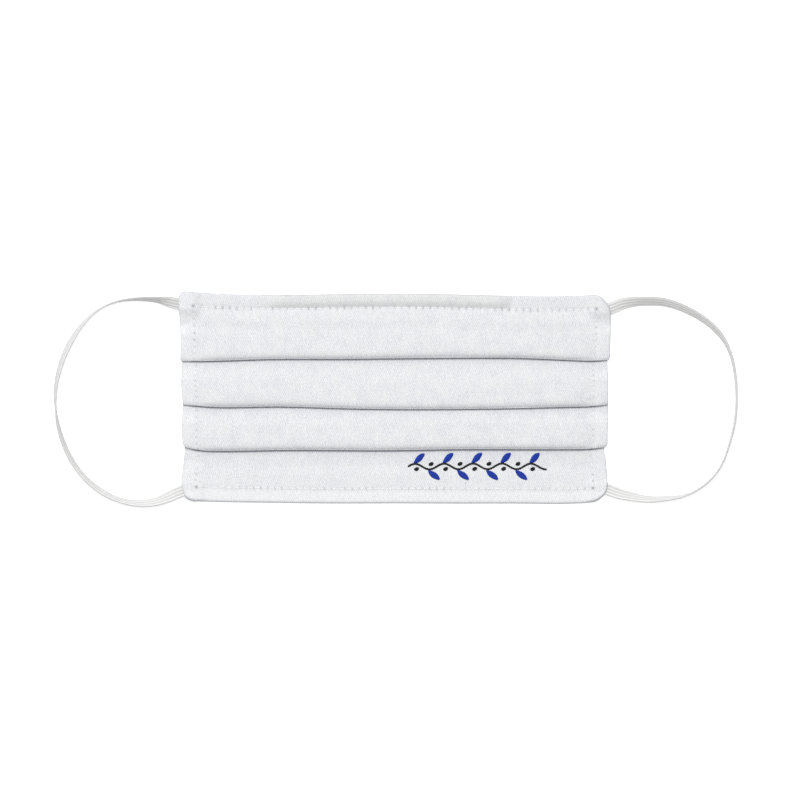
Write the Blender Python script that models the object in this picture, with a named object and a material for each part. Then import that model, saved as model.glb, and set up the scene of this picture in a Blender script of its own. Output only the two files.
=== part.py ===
"""Pleated cloth face mask with two flat elastic ear loops, lying face up.

X runs across the mask, Y runs up it and Z comes out of its front. The origin is on the
surface that the mask lies on, under the middle of the box round it. Lengths are metres.
"""
import bmesh
import bpy
import numpy as np

# Cloth panel, as it lies pleated
PANEL_WIDTH = 0.1810
BAND_1_HEIGHT = 0.0275
BAND_2_HEIGHT = 0.0204
BAND_3_HEIGHT = 0.0178
BAND_4_HEIGHT = 0.0225
PLEAT_DEPTH = 0.0115
CLOTH_THICKNESS = 0.0011
LAYER_GAP = 0.0003
HEM_DEPTH = 0.0115
CORNER_RADIUS = 0.0012
EDGE_WAVE = 0.0010
SIDE_STEP = 0.0010
PANEL_LIFT = 0.00045

# Where and how high the cloth has risen between two pleats, in shares of the way
RISE_PLACE = 0.35
RISE_HEIGHT = 0.60

# Elastic of the ear loops
ELASTIC_WIDTH = 0.0053
ELASTIC_THICKNESS = 0.0010
RIB_COUNT = 4
RIB_DEPTH = 0.00012
LOOP_REACH = 0.0527
POCKET_DEPTH = 0.0060
POCKET_SLOPE = 0.15
EXIT_SLANT = 1.04

# Strip that shapes the top hem over the nose
WIRE_LENGTH = 0.1033
WIRE_WIDTH = 0.0030
WIRE_THICKNESS = 0.0009
WIRE_OFFSET = -0.0063
WIRE_CHAMFER = 0.0002

# Fit between pieces, and how finely the shapes are divided
CLEARANCE = 0.00035
PANEL_SPACING = 0.0092
LOOP_SPACING = 0.0031
WIRE_SPACING = 0.0070
TURN_ANGLES = np.radians([-90.0, -30.0, 30.0, 90.0])
SHARP_ANGLE = np.radians(50.0)

PANEL_HEIGHT = BAND_1_HEIGHT + BAND_2_HEIGHT + BAND_3_HEIGHT + BAND_4_HEIGHT
HALF_WIDTH = PANEL_WIDTH / 2
PANEL_TOP = PANEL_HEIGHT / 2 + PANEL_LIFT
FOLD_1 = PANEL_TOP - BAND_1_HEIGHT
FOLD_2 = FOLD_1 - BAND_2_HEIGHT
FOLD_3 = FOLD_2 - BAND_3_HEIGHT
PANEL_BOTTOM = FOLD_3 - BAND_4_HEIGHT
WIRE_RUN = (WIRE_OFFSET - WIRE_LENGTH / 2, WIRE_OFFSET + WIRE_LENGTH / 2)
WIRE_FOOT = 1.5 * CLOTH_THICKNESS + WIRE_WIDTH
STITCH_INSET = WIRE_FOOT + CLOTH_THICKNESS + LAYER_GAP
POCKET_END = POCKET_DEPTH + 4 * CLEARANCE

# How far each edge and fold line strays upwards, in shares of EDGE_WAVE
LINE_COLUMNS = ("across", "top", "fold_1", "fold_2", "fold_3", "bottom")
LINE_TABLE = (
    (-1.00, 0.60, -0.80, 1.30, 1.30, 0.40),
    (-0.94, 0.80, -0.85, 0.80, 0.10, 0.75),
    (-0.86, 0.10, -0.80, 0.30, -0.40, 0.60),
    (-0.60, -0.30, -0.05, 0.45, -0.10, 0.30),
    (-0.30, 0.00, 0.05, -0.15, -0.05, 0.10),
    (0.00, 0.30, 0.30, -0.65, -0.10, 0.00),
    (0.30, -0.10, 0.55, -0.60, 0.30, -0.10),
    (0.60, -0.75, 0.40, -0.20, 0.30, -0.15),
    (0.86, -0.70, -0.60, 0.40, 0.35, 0.10),
    (0.94, -0.60, -0.70, 0.70, 0.60, 0.40),
    (1.00, -0.85, -0.25, 1.40, 1.30, 0.70),
)

# How far each band's side edges stand in from the panel's width, in shares of SIDE_STEP
STEP_COLUMNS = ("band", "left_top", "left_foot", "right_top", "right_foot")
STEP_TABLE = (
    (1, 0.00, 0.30, 0.00, 0.30),
    (2, 0.60, 0.70, 1.20, 1.25),
    (3, 1.00, 1.10, 1.20, 1.60),
    (4, 1.90, 0.80, 2.50, 1.90),
)

# Cloth near the side edges: inset in shares of STITCH_INSET, bulk of the seam allowance
# as a share of CLOTH_THICKNESS, and how much of that is left at the rounded edge
EDGE_COLUMNS = ("inset", "bulk", "rounding")
EDGE_TABLE = (
    (0.00, 1.10, 0.35),
    (0.06, 1.10, 0.78),
    (0.20, 1.10, 1.00),
    (0.55, 1.10, 1.00),
    (1.00, 1.00, 0.90),
    (1.40, 1.00, 1.00),
    (2.20, 1.00, 1.00),
)

# Corner roundings in shares of CORNER_RADIUS
CORNER_COLUMNS = ("side", "top", "bottom")
CORNER_TABLE = (
    (-1, 1.00, 1.00),
    (1, 1.20, 1.40),
)

# Middle line of each elastic between the two places where it leaves the cloth: out from
# the panel's side in shares of LOOP_REACH, up from midway between those two places in
# shares of half their distance, and the tilt of its width in degrees, 90 on its lower edge
ROUTE_COLUMNS = ("out", "up", "tilt")
LEFT_ROUTE = (
    (0.080, 1.015, 22),
    (0.159, 1.036, 62),
    (0.319, 1.050, 79),
    (0.478, 1.031, 87),
    (0.649, 0.937, 91),
    (0.765, 0.808, 96),
    (0.879, 0.582, 104),
    (0.964, 0.292, 103),
    (0.995, 0.003, 93),
    (0.976, -0.287, 83),
    (0.916, -0.545, 79),
    (0.797, -0.802, 74),
    (0.653, -0.996, 66),
    (0.474, -1.105, 68),
    (0.315, -1.140, 61),
    (0.155, -1.102, 43),
    (0.076, -1.054, 26),
)
RIGHT_ROUTE = (
    (0.076, 1.040, 12),
    (0.171, 1.064, 42),
    (0.315, 1.074, 52),
    (0.400, 1.068, 55),
    (0.590, 0.979, 52),
    (0.765, 0.846, 60),
    (0.860, 0.714, 70),
    (0.944, 0.515, 82),
    (0.992, 0.250, 86),
    (1.000, -0.015, 88),
    (0.980, -0.281, 88),
    (0.932, -0.546, 90),
    (0.876, -0.745, 90),
    (0.809, -0.877, 90),
    (0.685, -1.010, 89),
    (0.562, -1.076, 76),
    (0.434, -1.107, 68),
    (0.315, -1.117, 63),
    (0.155, -1.084, 45),
    (0.060, -1.050, 30),
)

MATERIALS = {
    "pleated_panel": ("white_cotton_twill", (0.80, 0.81, 0.84), 0.90, 0.0),
    "ear_loop_left": ("white_knitted_elastic", (0.74, 0.74, 0.74), 0.75, 0.0),
    "ear_loop_right": ("white_knitted_elastic", (0.74, 0.74, 0.74), 0.75, 0.0),
    "nose_wire": ("coated_nose_strip", (0.80, 0.79, 0.74), 0.45, 0.0),
}


def column(table, columns, name):
    """One named column of a table, as an array"""
    return np.array([row[columns.index(name)] for row in table], dtype=float)


def smooth_curve(knots, values, places):
    """Natural cubic spline through values at knots, read at places"""
    knots = np.asarray(knots, dtype=float)
    values = np.asarray(values, dtype=float)
    step = np.diff(knots)
    count = len(knots)
    system = np.eye(count)
    right_side = np.zeros_like(values)
    for i in range(1, count - 1):
        system[i, i - 1] = step[i - 1]
        system[i, i] = 2 * (step[i - 1] + step[i])
        system[i, i + 1] = step[i]
        slope_after = (values[i + 1] - values[i]) / step[i]
        slope_before = (values[i] - values[i - 1]) / step[i - 1]
        right_side[i] = 6 * (slope_after - slope_before)
    bend = np.linalg.solve(system, right_side)
    span = np.clip(np.searchsorted(knots, places) - 1, 0, count - 2)
    width = step[span]
    ahead = (knots[span + 1] - places) / width
    behind = 1 - ahead
    curve = ahead * values[span] + behind * values[span + 1]
    curve += (ahead ** 3 - ahead) * bend[span] * width ** 2 / 6
    curve += (behind ** 3 - behind) * bend[span + 1] * width ** 2 / 6
    return curve


def line_height(name, level, across):
    """Y of an edge or fold line at a share of the half width"""
    knots = column(LINE_TABLE, LINE_COLUMNS, "across")
    wave = smooth_curve(knots, column(LINE_TABLE, LINE_COLUMNS, name), np.array([across]))[0]
    return level + EDGE_WAVE * wave


def edge_reading(name, inset):
    """Share of thickness at a distance in from the side edge"""
    insets = column(EDGE_TABLE, EDGE_COLUMNS, "inset") * STITCH_INSET
    return np.interp(inset, insets, column(EDGE_TABLE, EDGE_COLUMNS, name))


def corner_radius(across, name):
    """Rounding of the top or bottom corner on this side of the middle"""
    row = CORNER_TABLE[0] if across < 0 else CORNER_TABLE[1]
    return CORNER_RADIUS * row[CORNER_COLUMNS.index(name)]


def corner_drop(across, name):
    """How far the rounded corner pulls the top or bottom edge in at this place"""
    radius = corner_radius(across, name)
    inset = HALF_WIDTH * (1 - abs(across))
    reach = max(0.0, radius - inset)
    return radius - np.sqrt(radius ** 2 - reach ** 2)


def hem_opening(across, has_wire):
    """Height of the tunnel in a hem, and how deep the tunnel runs in from the hem's edge

    The tunnel is open for the elastic at the corners and for the strip over the nose,
    and elsewhere its two walls lie together.
    """
    place = across * HALF_WIDTH
    inset = HALF_WIDTH - abs(place)
    corner = 1 - np.clip((inset - POCKET_END) / STITCH_INSET, 0, 1)
    elastic_room = ELASTIC_THICKNESS + 2 * CLEARANCE
    height = LAYER_GAP + corner * (elastic_room - LAYER_GAP)
    pocket_foot = HEM_DEPTH - CLOTH_THICKNESS - 2 * LAYER_GAP
    depth = WIRE_FOOT + corner * (pocket_foot - WIRE_FOOT)
    if has_wire:
        past_end = max(WIRE_RUN[0] - place, place - WIRE_RUN[1], 0.0)
        wire = 1 - np.clip((past_end - 2 * CLEARANCE) / STITCH_INSET, 0, 1)
        wire_room = WIRE_THICKNESS + 2 * CLEARANCE
        height = max(height, LAYER_GAP + wire * (wire_room - LAYER_GAP))
    return height, depth


def hem_points(edge, inward, opening, cloth):
    """Side view of a hem turned to the back, from its cut end round the edge and over that end

    edge is the Y of the hem's outer edge, and inward is -1 at the top and +1 at the bottom.
    """
    tunnel, depth = opening
    turn = (tunnel + cloth) / 2
    centre = edge + inward * (turn + cloth / 2)
    points = [(edge + inward * HEM_DEPTH, cloth / 2)]
    for angle in TURN_ANGLES:
        points.append((centre - inward * turn * np.cos(angle), cloth / 2 + turn * (1 + np.sin(angle))))
    points.append((edge + inward * depth, cloth / 2 + 2 * turn))
    points.append((edge + inward * (depth + cloth + LAYER_GAP), 1.5 * cloth + LAYER_GAP))
    points.append((edge + inward * (HEM_DEPTH + cloth), 1.5 * cloth + LAYER_GAP))
    return points


def pleat_points(fold, cloth):
    """Side view of one pleat: front layer, turn under the fold, turn at the hidden top, back layer"""
    pitch = cloth + LAYER_GAP
    low = cloth / 2
    turn = pitch / 2
    reach = turn + cloth / 2
    front = [(fold + PLEAT_DEPTH, low + 2 * pitch)]
    for angle in -TURN_ANGLES:
        front.append((fold + reach - turn * np.cos(angle), low + 1.5 * pitch + turn * np.sin(angle)))
    back = []
    for angle in -TURN_ANGLES:
        back.append((fold + PLEAT_DEPTH - reach + turn * np.cos(angle), low + turn * (1 + np.sin(angle))))
    back.append((fold - LAYER_GAP, low))
    return front, back


def rising_point(start, end):
    """A point of the cloth between two pleats, which climbs fast and then levels off"""
    y = start[0] + RISE_PLACE * (end[0] - start[0])
    z = start[1] + RISE_HEIGHT * (end[1] - start[1])
    return (y, z)


def section_rows(across):
    """Side view of the whole folded cloth at one place across the panel

    Each row holds Y, Z and the insets of the left and the right side edge, which change
    down each band from its top to its foot.
    """
    inset = HALF_WIDTH * (1 - abs(across))
    cloth = CLOTH_THICKNESS * edge_reading("bulk", inset)
    top = line_height("top", PANEL_TOP, across) - corner_drop(across, "top")
    bottom = line_height("bottom", PANEL_BOTTOM, across) + corner_drop(across, "bottom")
    folds = [line_height("fold_1", FOLD_1, across)]
    folds.append(line_height("fold_2", FOLD_2, across))
    folds.append(line_height("fold_3", FOLD_3, across))
    bands = [hem_points(top, -1, hem_opening(across, True), cloth)]
    for number, fold in enumerate(folds):
        front, back = pleat_points(fold, cloth)
        if number > 0:
            front.insert(0, rising_point(bands[-1][-1], front[0]))
        bands[-1] += front
        bands.append(back)
    foot_hem = hem_points(bottom, 1, hem_opening(across, False), cloth)[::-1]
    bands[-1].append(rising_point(bands[-1][-1], foot_hem[0]))
    bands[-1] += foot_hem
    limits = [top, *folds, bottom]
    rows = []
    for number, points in enumerate(bands):
        step = dict(zip(STEP_COLUMNS, STEP_TABLE[number]))
        height = limits[number] - limits[number + 1]
        for y, z in points:
            down = np.clip((limits[number] - y) / height, 0, 1)
            left = SIDE_STEP * (step["left_top"] + down * (step["left_foot"] - step["left_top"]))
            right = SIDE_STEP * (step["right_top"] + down * (step["right_foot"] - step["right_top"]))
            rows.append((y, z, left, right))
    return np.array(rows)


def panel_ring(across):
    """Outline of the folded wall at one place across: out along its face, back along its lining"""
    rows = section_rows(across)
    inset = HALF_WIDTH * (1 - abs(across))
    thickness = CLOTH_THICKNESS * edge_reading("bulk", inset) * edge_reading("rounding", inset)
    middle = rows[:, :2]
    along = np.empty_like(middle)
    along[1:-1] = middle[2:] - middle[:-2]
    along[0] = middle[1] - middle[0]
    along[-1] = middle[-1] - middle[-2]
    along /= np.linalg.norm(along, axis=1, keepdims=True)
    outward = np.column_stack((-along[:, 1], along[:, 0]))
    left_edge = rows[:, 2] - HALF_WIDTH
    right_edge = HALF_WIDTH - rows[:, 3]
    x = (left_edge + right_edge) / 2 + across * (right_edge - left_edge) / 2
    face = np.column_stack((x, middle + outward * thickness / 2))
    lining = np.column_stack((x, middle - outward * thickness / 2))
    return np.vstack((face, lining[::-1]))


def panel_places():
    """Places across the panel where its sections stand, as shares of the half width"""
    insets = column(EDGE_TABLE, EDGE_COLUMNS, "inset") * STITCH_INSET
    edge_places = np.append(insets, POCKET_END)
    inner = HALF_WIDTH - max(edge_places)
    count = int(round(2 * inner / PANEL_SPACING)) + 1
    places = list(np.linspace(-inner, inner, count))
    places += [WIRE_RUN[0] - CLEARANCE, WIRE_RUN[1] + CLEARANCE]
    for edge in edge_places:
        places += [edge - HALF_WIDTH, HALF_WIDTH - edge]
    places = np.unique(np.round(places, 6))
    apart = np.append(True, np.diff(places) > LAYER_GAP / 2)
    return places[apart] / HALF_WIDTH


def solid_from_rings(name, rings, folded=False):
    """Closed solid through a row of like rings, its ends closed with one face

    A folded wall has its ends closed by a strip of faces from its face to its lining.
    """
    rings = np.array(rings)
    count, size = rings.shape[:2]
    faces = []
    for i in range(count - 1):
        for j in range(size):
            after = (j + 1) % size
            faces.append((i * size + j, i * size + after, (i + 1) * size + after, (i + 1) * size + j))
    for start in (0, (count - 1) * size):
        if folded:
            for j in range(size // 2 - 1):
                faces.append((start + j, start + j + 1, start + size - 2 - j, start + size - 1 - j))
        else:
            faces.append(tuple(range(start, start + size)))
    mesh = bpy.data.meshes.new(name)
    mesh.from_pydata(rings.reshape(-1, 3).tolist(), [], faces)
    shape = bmesh.new()
    shape.from_mesh(mesh)
    bmesh.ops.recalc_face_normals(shape, faces=shape.faces)
    shape.to_mesh(mesh)
    shape.free()
    mesh.shade_smooth()
    mesh.set_sharp_from_angle(angle=SHARP_ANGLE)
    piece = bpy.data.objects.new(name, mesh)
    bpy.context.collection.objects.link(piece)
    piece.data.materials.append(plain_material(*MATERIALS[name]))
    return piece


def plain_material(name, colour, roughness, metallic):
    """One Principled material, shared by the pieces that are made of it"""
    material = bpy.data.materials.get(name)
    if material is None:
        material = bpy.data.materials.new(name)
        material.use_nodes = True
        shader = material.node_tree.nodes["Principled BSDF"]
        shader.inputs["Base Color"].default_value = (*colour, 1.0)
        shader.inputs["Roughness"].default_value = roughness
        shader.inputs["Metallic"].default_value = metallic
        material.diffuse_color = (*colour, 1.0)
    return material


def elastic_ring():
    """Cross-section of the elastic, ribbed on both faces, as (across, up) from its middle"""
    crest = ELASTIC_THICKNESS / 2
    rib = ELASTIC_WIDTH / RIB_COUNT
    steps = np.arange(1, 2 * RIB_COUNT)
    across = -ELASTIC_WIDTH / 2 + steps * rib / 2
    up = np.where(steps % 2 == 1, crest, crest - RIB_DEPTH)
    top = np.column_stack((across, up))
    under = np.column_stack((across[::-1], -up[::-1]))
    edges = np.array([(-ELASTIC_WIDTH / 2, 0.0), (ELASTIC_WIDTH / 2, 0.0)])
    return np.vstack((edges[:1], top, edges[1:], under))


def exit_point(side, name):
    """Where an elastic leaves the cloth: at the side edge, tight against the corner's rounding

    EXIT_SLANT allows for the elastic running at a slant, which makes it take up more height.
    """
    band = STEP_TABLE[0] if name == "top" else STEP_TABLE[-1]
    end = "top" if name == "top" else "foot"
    inset = SIDE_STEP * band[STEP_COLUMNS.index(("left_" if side < 0 else "right_") + end)]
    cloth = CLOTH_THICKNESS * edge_reading("bulk", 0.0)
    turned_cloth = cloth * (1 + edge_reading("rounding", 0.0)) / 2
    room = corner_radius(side, name) + turned_cloth + CLEARANCE + EXIT_SLANT * ELASTIC_WIDTH / 2
    if name == "top":
        y = line_height(name, PANEL_TOP, side) - room
    else:
        y = line_height(name, PANEL_BOTTOM, side) + room
    return np.array((side * (HALF_WIDTH - inset), y))


def loop_knots(side, route):
    """Points of an elastic's middle line with their tilts, from one end in the cloth to the other"""
    top = exit_point(side, "top")
    bottom = exit_point(side, "bottom")
    x = side * (HALF_WIDTH + column(route, ROUTE_COLUMNS, "out") * LOOP_REACH)
    half_span = (top[1] - bottom[1]) / 2
    y = (top[1] + bottom[1]) / 2 + column(route, ROUTE_COLUMNS, "up") * half_span
    inwards = POCKET_DEPTH * np.array((-side, -POCKET_SLOPE))
    sewn_top = top + inwards
    sewn_bottom = bottom + inwards * (1, -1)
    knots = np.vstack((sewn_top, top, np.column_stack((x, y)), bottom, sewn_bottom))
    tilts = np.concatenate(((0, 0), column(route, ROUTE_COLUMNS, "tilt"), (0, 0)))
    return knots, np.radians(tilts)


def ear_loop(name, side, route):
    """Flat elastic carried along its route, turned by its tilt, resting on its lower edge"""
    knots, tilts = loop_knots(side, route)
    knot_steps = np.append(0.0, np.cumsum(np.linalg.norm(np.diff(knots, axis=0), axis=1)))
    count = int(round(knot_steps[-1] / LOOP_SPACING)) + 1
    places = np.linspace(0.0, knot_steps[-1], count)
    x = smooth_curve(knot_steps, knots[:, 0], places)
    y = smooth_curve(knot_steps, knots[:, 1], places)
    tilt = np.interp(places, knot_steps, tilts)
    half_height = ELASTIC_WIDTH / 2 * np.abs(np.sin(tilt)) + ELASTIC_THICKNESS / 2 * np.abs(np.cos(tilt))
    cloth = CLOTH_THICKNESS * edge_reading("bulk", 0.0)
    pocket_height = cloth + CLEARANCE + ELASTIC_THICKNESS / 2
    z = np.maximum(half_height, pocket_height)
    along = np.column_stack((np.gradient(x), np.gradient(y)))
    along /= np.linalg.norm(along, axis=1, keepdims=True)
    outward = side * np.column_stack((-along[:, 1], along[:, 0]))
    ring = elastic_ring()
    rings = []
    for i in range(count):
        width_way = np.append(np.cos(tilt[i]) * outward[i], np.sin(tilt[i]))
        face_way = np.append(-np.sin(tilt[i]) * outward[i], np.cos(tilt[i]))
        centre = np.array((x[i], y[i], z[i]))
        rings.append(centre + ring[:, :1] * width_way + ring[:, 1:] * face_way)
    return solid_from_rings(name, rings)


def nose_wire():
    """Flat strip that follows the top edge inside its hem"""
    half_width = WIRE_WIDTH / 2
    half_height = WIRE_THICKNESS / 2
    ring = np.array([
        (half_width - WIRE_CHAMFER, half_height),
        (half_width, half_height - WIRE_CHAMFER),
        (half_width, WIRE_CHAMFER - half_height),
        (half_width - WIRE_CHAMFER, -half_height),
        (WIRE_CHAMFER - half_width, -half_height),
        (-half_width, WIRE_CHAMFER - half_height),
        (-half_width, half_height - WIRE_CHAMFER),
        (WIRE_CHAMFER - half_width, half_height),
    ])
    count = int(round(WIRE_LENGTH / WIRE_SPACING)) + 1
    height = CLOTH_THICKNESS + CLEARANCE + half_height
    below_edge = WIRE_FOOT - half_width
    rings = []
    for x in np.linspace(WIRE_RUN[0], WIRE_RUN[1], count):
        y = line_height("top", PANEL_TOP, x / HALF_WIDTH) - below_edge
        rings.append([(x, y + across, height + up) for across, up in ring])
    return solid_from_rings("nose_wire", rings)


def main():
    """Clear the scene and build the four pieces of the mask"""
    for old in list(bpy.data.objects):
        bpy.data.objects.remove(old, do_unlink=True)
    rings = [panel_ring(across) for across in panel_places()]
    solid_from_rings("pleated_panel", rings, folded=True)
    ear_loop("ear_loop_left", -1, LEFT_ROUTE)
    ear_loop("ear_loop_right", 1, RIGHT_ROUTE)
    nose_wire()


main()
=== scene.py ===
# %% [markdown]
# # A pleated cloth face mask, lying face up
#
# The mask is a strip of white cotton twill, folded into three pleats and hemmed all round.
# A flat elastic leaves it at each side, and a bendable strip lies in the top hem. The packed
# CAD model already has these four pieces at their real size. This lesson dresses them: it
# makes finer surfaces in the same places, gives each one its weave, and sews on the thread.

# %% Load the fixed frame
import bmesh
import bpy
import numpy as np
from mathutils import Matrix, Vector


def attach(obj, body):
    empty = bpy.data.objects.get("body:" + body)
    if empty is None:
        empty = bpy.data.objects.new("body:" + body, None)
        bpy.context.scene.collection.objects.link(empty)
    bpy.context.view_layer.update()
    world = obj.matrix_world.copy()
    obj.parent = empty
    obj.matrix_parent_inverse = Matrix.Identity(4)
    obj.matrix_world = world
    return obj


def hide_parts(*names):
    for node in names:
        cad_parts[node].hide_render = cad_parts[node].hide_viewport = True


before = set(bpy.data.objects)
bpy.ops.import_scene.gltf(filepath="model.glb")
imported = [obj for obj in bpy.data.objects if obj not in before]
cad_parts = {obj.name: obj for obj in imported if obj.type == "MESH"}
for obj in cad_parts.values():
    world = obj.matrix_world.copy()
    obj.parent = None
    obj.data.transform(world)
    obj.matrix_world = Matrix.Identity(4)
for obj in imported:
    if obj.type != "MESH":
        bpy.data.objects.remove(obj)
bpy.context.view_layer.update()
MM = 0.001
print("CAD pieces:", ", ".join(sorted(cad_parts)))

# %% [markdown]
# ## Two curves that everything uses
#
# A hand-made thing has no straight lines, but few facts are needed to say how it strays: a
# handful of points read off the real piece, and a curve that passes smoothly through them.
# Numpy has no spline of its own, so the natural cubic spline is solved here as one small
# linear system. The second helper eases a value from 0 to 1, which is how cloth climbs.


# %% Smooth curve and ease
def smooth_curve(knots, values, places):
    """Natural cubic spline: equal slopes and bends at every knot, and no bend at the two ends"""
    knots = np.asarray(knots, dtype=float)
    values = np.asarray(values, dtype=float)
    step = np.diff(knots)
    slope = np.diff(values) / step
    system = np.eye(len(knots))
    inner = np.arange(1, len(knots) - 1)
    system[inner, inner - 1] = step[:-1]
    system[inner, inner] = 2 * (step[:-1] + step[1:])
    system[inner, inner + 1] = step[1:]
    bend = np.linalg.solve(system, np.concatenate(([0], 6 * np.diff(slope), [0])))
    span = np.clip(np.searchsorted(knots, places) - 1, 0, len(step) - 1)
    width = step[span]
    ahead = (knots[span + 1] - places) / width
    behind = 1 - ahead
    curve = ahead * values[span] + behind * values[span + 1]
    curve += (ahead ** 3 - ahead) * bend[span] * width ** 2 / 6
    curve += (behind ** 3 - behind) * bend[span + 1] * width ** 2 / 6
    return curve


def ease(start, end, place):
    """0 up to start, 1 from end on, and 3s^2 - 2s^3 of the share s between them"""
    share = np.clip((place - start) / (end - start), 0, 1)
    return share * share * (3 - 2 * share)


def ridge(centre, reach, place):
    """A soft bump of height 1 at centre that dies away over reach: exp(-(distance / reach)^2)"""
    return np.exp(-((place - centre) / reach) ** 2)


# %% [markdown]
# ## The camera
#
# The mask was laid flat and looked at from straight above, through a long lens: its two ends
# look alike in size, and no side wall shows. An orthographic camera says just that. Its scale
# is the width of ground that the square picture covers.

# %% Camera straight above
PICTURE_WIDTH = 336.0 * MM
PICTURE_CENTRE = (1.9 * MM, 0.0)
CAMERA_HEIGHT = 0.8

lens = bpy.data.cameras.new("camera")
lens.type = "ORTHO"
lens.ortho_scale = PICTURE_WIDTH
camera = bpy.data.objects.new("camera", lens)
camera.location = (*PICTURE_CENTRE, CAMERA_HEIGHT)
bpy.context.scene.collection.objects.link(camera)
bpy.context.scene.camera = camera
print("ground across the picture, mm:", round(PICTURE_WIDTH / MM, 1))

# %% [markdown]
# ## Where the cloth's edges and folds run
#
# Seen from above, the mask is five lines that run across it: the top edge, three folds and
# the bottom edge. Each has a level, and a gentle wave of about a millimetre that sewing and
# pressing left in it. The lines are the CAD model's own, so the fine cloth lies in its place.

# %% Lines across the mask
PANEL_WIDTH = 181.0 * MM
HALF_WIDTH = PANEL_WIDTH / 2
BAND_HEIGHTS = np.array((27.5, 20.4, 17.8, 22.5)) * MM
PANEL_SHIFT = 0.45 * MM
PANEL_TOP = BAND_HEIGHTS.sum() / 2 + PANEL_SHIFT
LEVELS = PANEL_TOP - np.append(0.0, np.cumsum(BAND_HEIGHTS))
EDGE_WAVE = 1.0 * MM

# Place across in half widths, then how far each line strays upwards in shares of EDGE_WAVE
LINES = np.array((
    # across, top, fold 1, fold 2, fold 3, bottom
    (-1.00, 1.45, -0.80, 1.30, 1.30, 0.50),
    (-0.94, 1.00, -0.85, 0.80, 0.10, 0.95),
    (-0.86, 0.45, -0.80, 0.30, -0.40, 0.90),
    (-0.60, -0.30, -0.05, 0.45, -0.10, 0.50),
    (-0.30, 0.00, 0.05, -0.15, -0.05, 0.20),
    (0.00, 0.30, 0.30, -0.65, -0.10, 0.25),
    (0.30, -0.10, 0.55, -0.60, 0.30, 0.15),
    (0.60, -0.75, 0.40, -0.20, 0.30, 0.15),
    (0.86, -0.60, -0.60, 0.40, 0.35, 0.20),
    (0.94, -0.25, -0.70, 0.70, 0.60, 0.55),
    (1.00, -0.20, -0.25, 1.40, 1.30, 0.70),
))


def line(number, across):
    """Y of a line at places across: its level, plus the smooth wave through the table's points"""
    return LEVELS[number] + EDGE_WAVE * smooth_curve(LINES[:, 0], LINES[:, number + 1], across)


print("bands from top to bottom, mm:", (BAND_HEIGHTS / MM).tolist())

# %% [markdown]
# ## The side edges and the four corners
#
# The side of each band is nearly straight, but every fold steps in a little, because the
# pleats were pressed by hand before the sides were sewn. The corners are rounded, each to a
# quarter of a squarish ellipse, and the elastic comes out of the seam there.

# %% Side edges and corners
# Band, share of the way down it, and how far the left and right edges stand in, in mm
SIDES = np.array((
    (0, 0.00, -0.30, 0.00), (0, 0.15, -0.60, 0.00), (0, 0.28, -0.60, 0.10),
    (0, 0.36, -0.35, 0.02), (0, 0.42, -0.10, -0.05), (0, 0.62, 0.10, 0.20), (0, 0.85, 0.22, 0.40),
    (0, 0.96, 0.02, 0.40), (0, 1.00, 0.30, 1.10),
    (1, 0.00, 0.90, 1.50), (1, 0.30, 0.50, 1.30), (1, 0.50, 0.35, 1.20),
    (1, 0.75, 0.75, 1.20), (1, 0.93, 1.05, 1.20), (1, 1.00, 1.30, 1.50),
    (2, 0.00, 1.05, 1.25), (2, 0.40, 0.80, 1.30), (2, 0.75, 0.85, 1.45),
    (2, 0.90, 1.05, 1.35), (2, 0.96, 1.50, 1.80), (2, 1.00, 2.20, 2.80),
    (3, 0.00, 1.90, 2.85), (3, 0.10, 1.90, 2.70), (3, 0.20, 1.55, 2.20),
    (3, 0.40, 1.10, 1.80), (3, 0.55, 0.55, 1.55), (3, 0.63, 0.45, 1.55), (3, 0.72, 0.90, 1.60),
    (3, 0.83, 1.70, 1.80), (3, 0.90, 1.85, 2.00), (3, 1.00, 1.90, 2.00),
))

# How far each corner's ellipse reaches along the edge and down the side
CORNERS = {
    "top": ((2.8 * MM, 2.2 * MM), (6.2 * MM, 8.6 * MM)),
    "bottom": ((4.9 * MM, 3.1 * MM), (6.4 * MM, 5.4 * MM)),
}
ROUNDNESS = 1.7


def side_insets(band, down):
    """Insets of the left and right edge of a band, read at shares of the way down it"""
    rows = SIDES[SIDES[:, 0] == band]
    return [np.interp(down, rows[:, 1], rows[:, side]) * MM for side in (2, 3)]


def corner_drop(end, across):
    """Height * (1 - (1 - s^p)^(1/p)), s being how far into the corner a place is, p its roundness"""
    along = np.where(across < 0, CORNERS[end][0][0], CORNERS[end][1][0])
    height = np.where(across < 0, CORNERS[end][0][1], CORNERS[end][1][1])
    share = np.clip(1 - HALF_WIDTH * (1 - np.abs(across)) / along, 0, 1)
    return height * (1 - (1 - share ** ROUNDNESS) ** (1 / ROUNDNESS))


# %% [markdown]
# ## How the layers lie on each other
#
# Cloth and lining are sewn together, so they are taken as one wall of the two. Where the wall is folded,
# layers lie tight on each other: one on the ground, two in a hem, three in a pleat. Between the pleats
# the cloth climbs, and just above each fold it stands a little proud, because twill that is bent back on
# itself springs. That small swell makes part of the soft grey shade along every fold; the rest is
# painted shade in the cloth's colour.

# %% Heights of the cloth
CLOTH = 0.75 * MM
LAYER = CLOTH + 0.06 * MM
LOW = CLOTH / 2
PLEAT_DEPTH = 11.5 * MM
HEM_DEPTH = 11.5 * MM
HEM_SETTLES = 13.0 * MM
HEM_ROUND = 0.16 * MM
STITCH_INSET = 6.05 * MM
print("wall and layer, mm:", round(CLOTH / MM, 2), round(LAYER / MM, 2))

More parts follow.
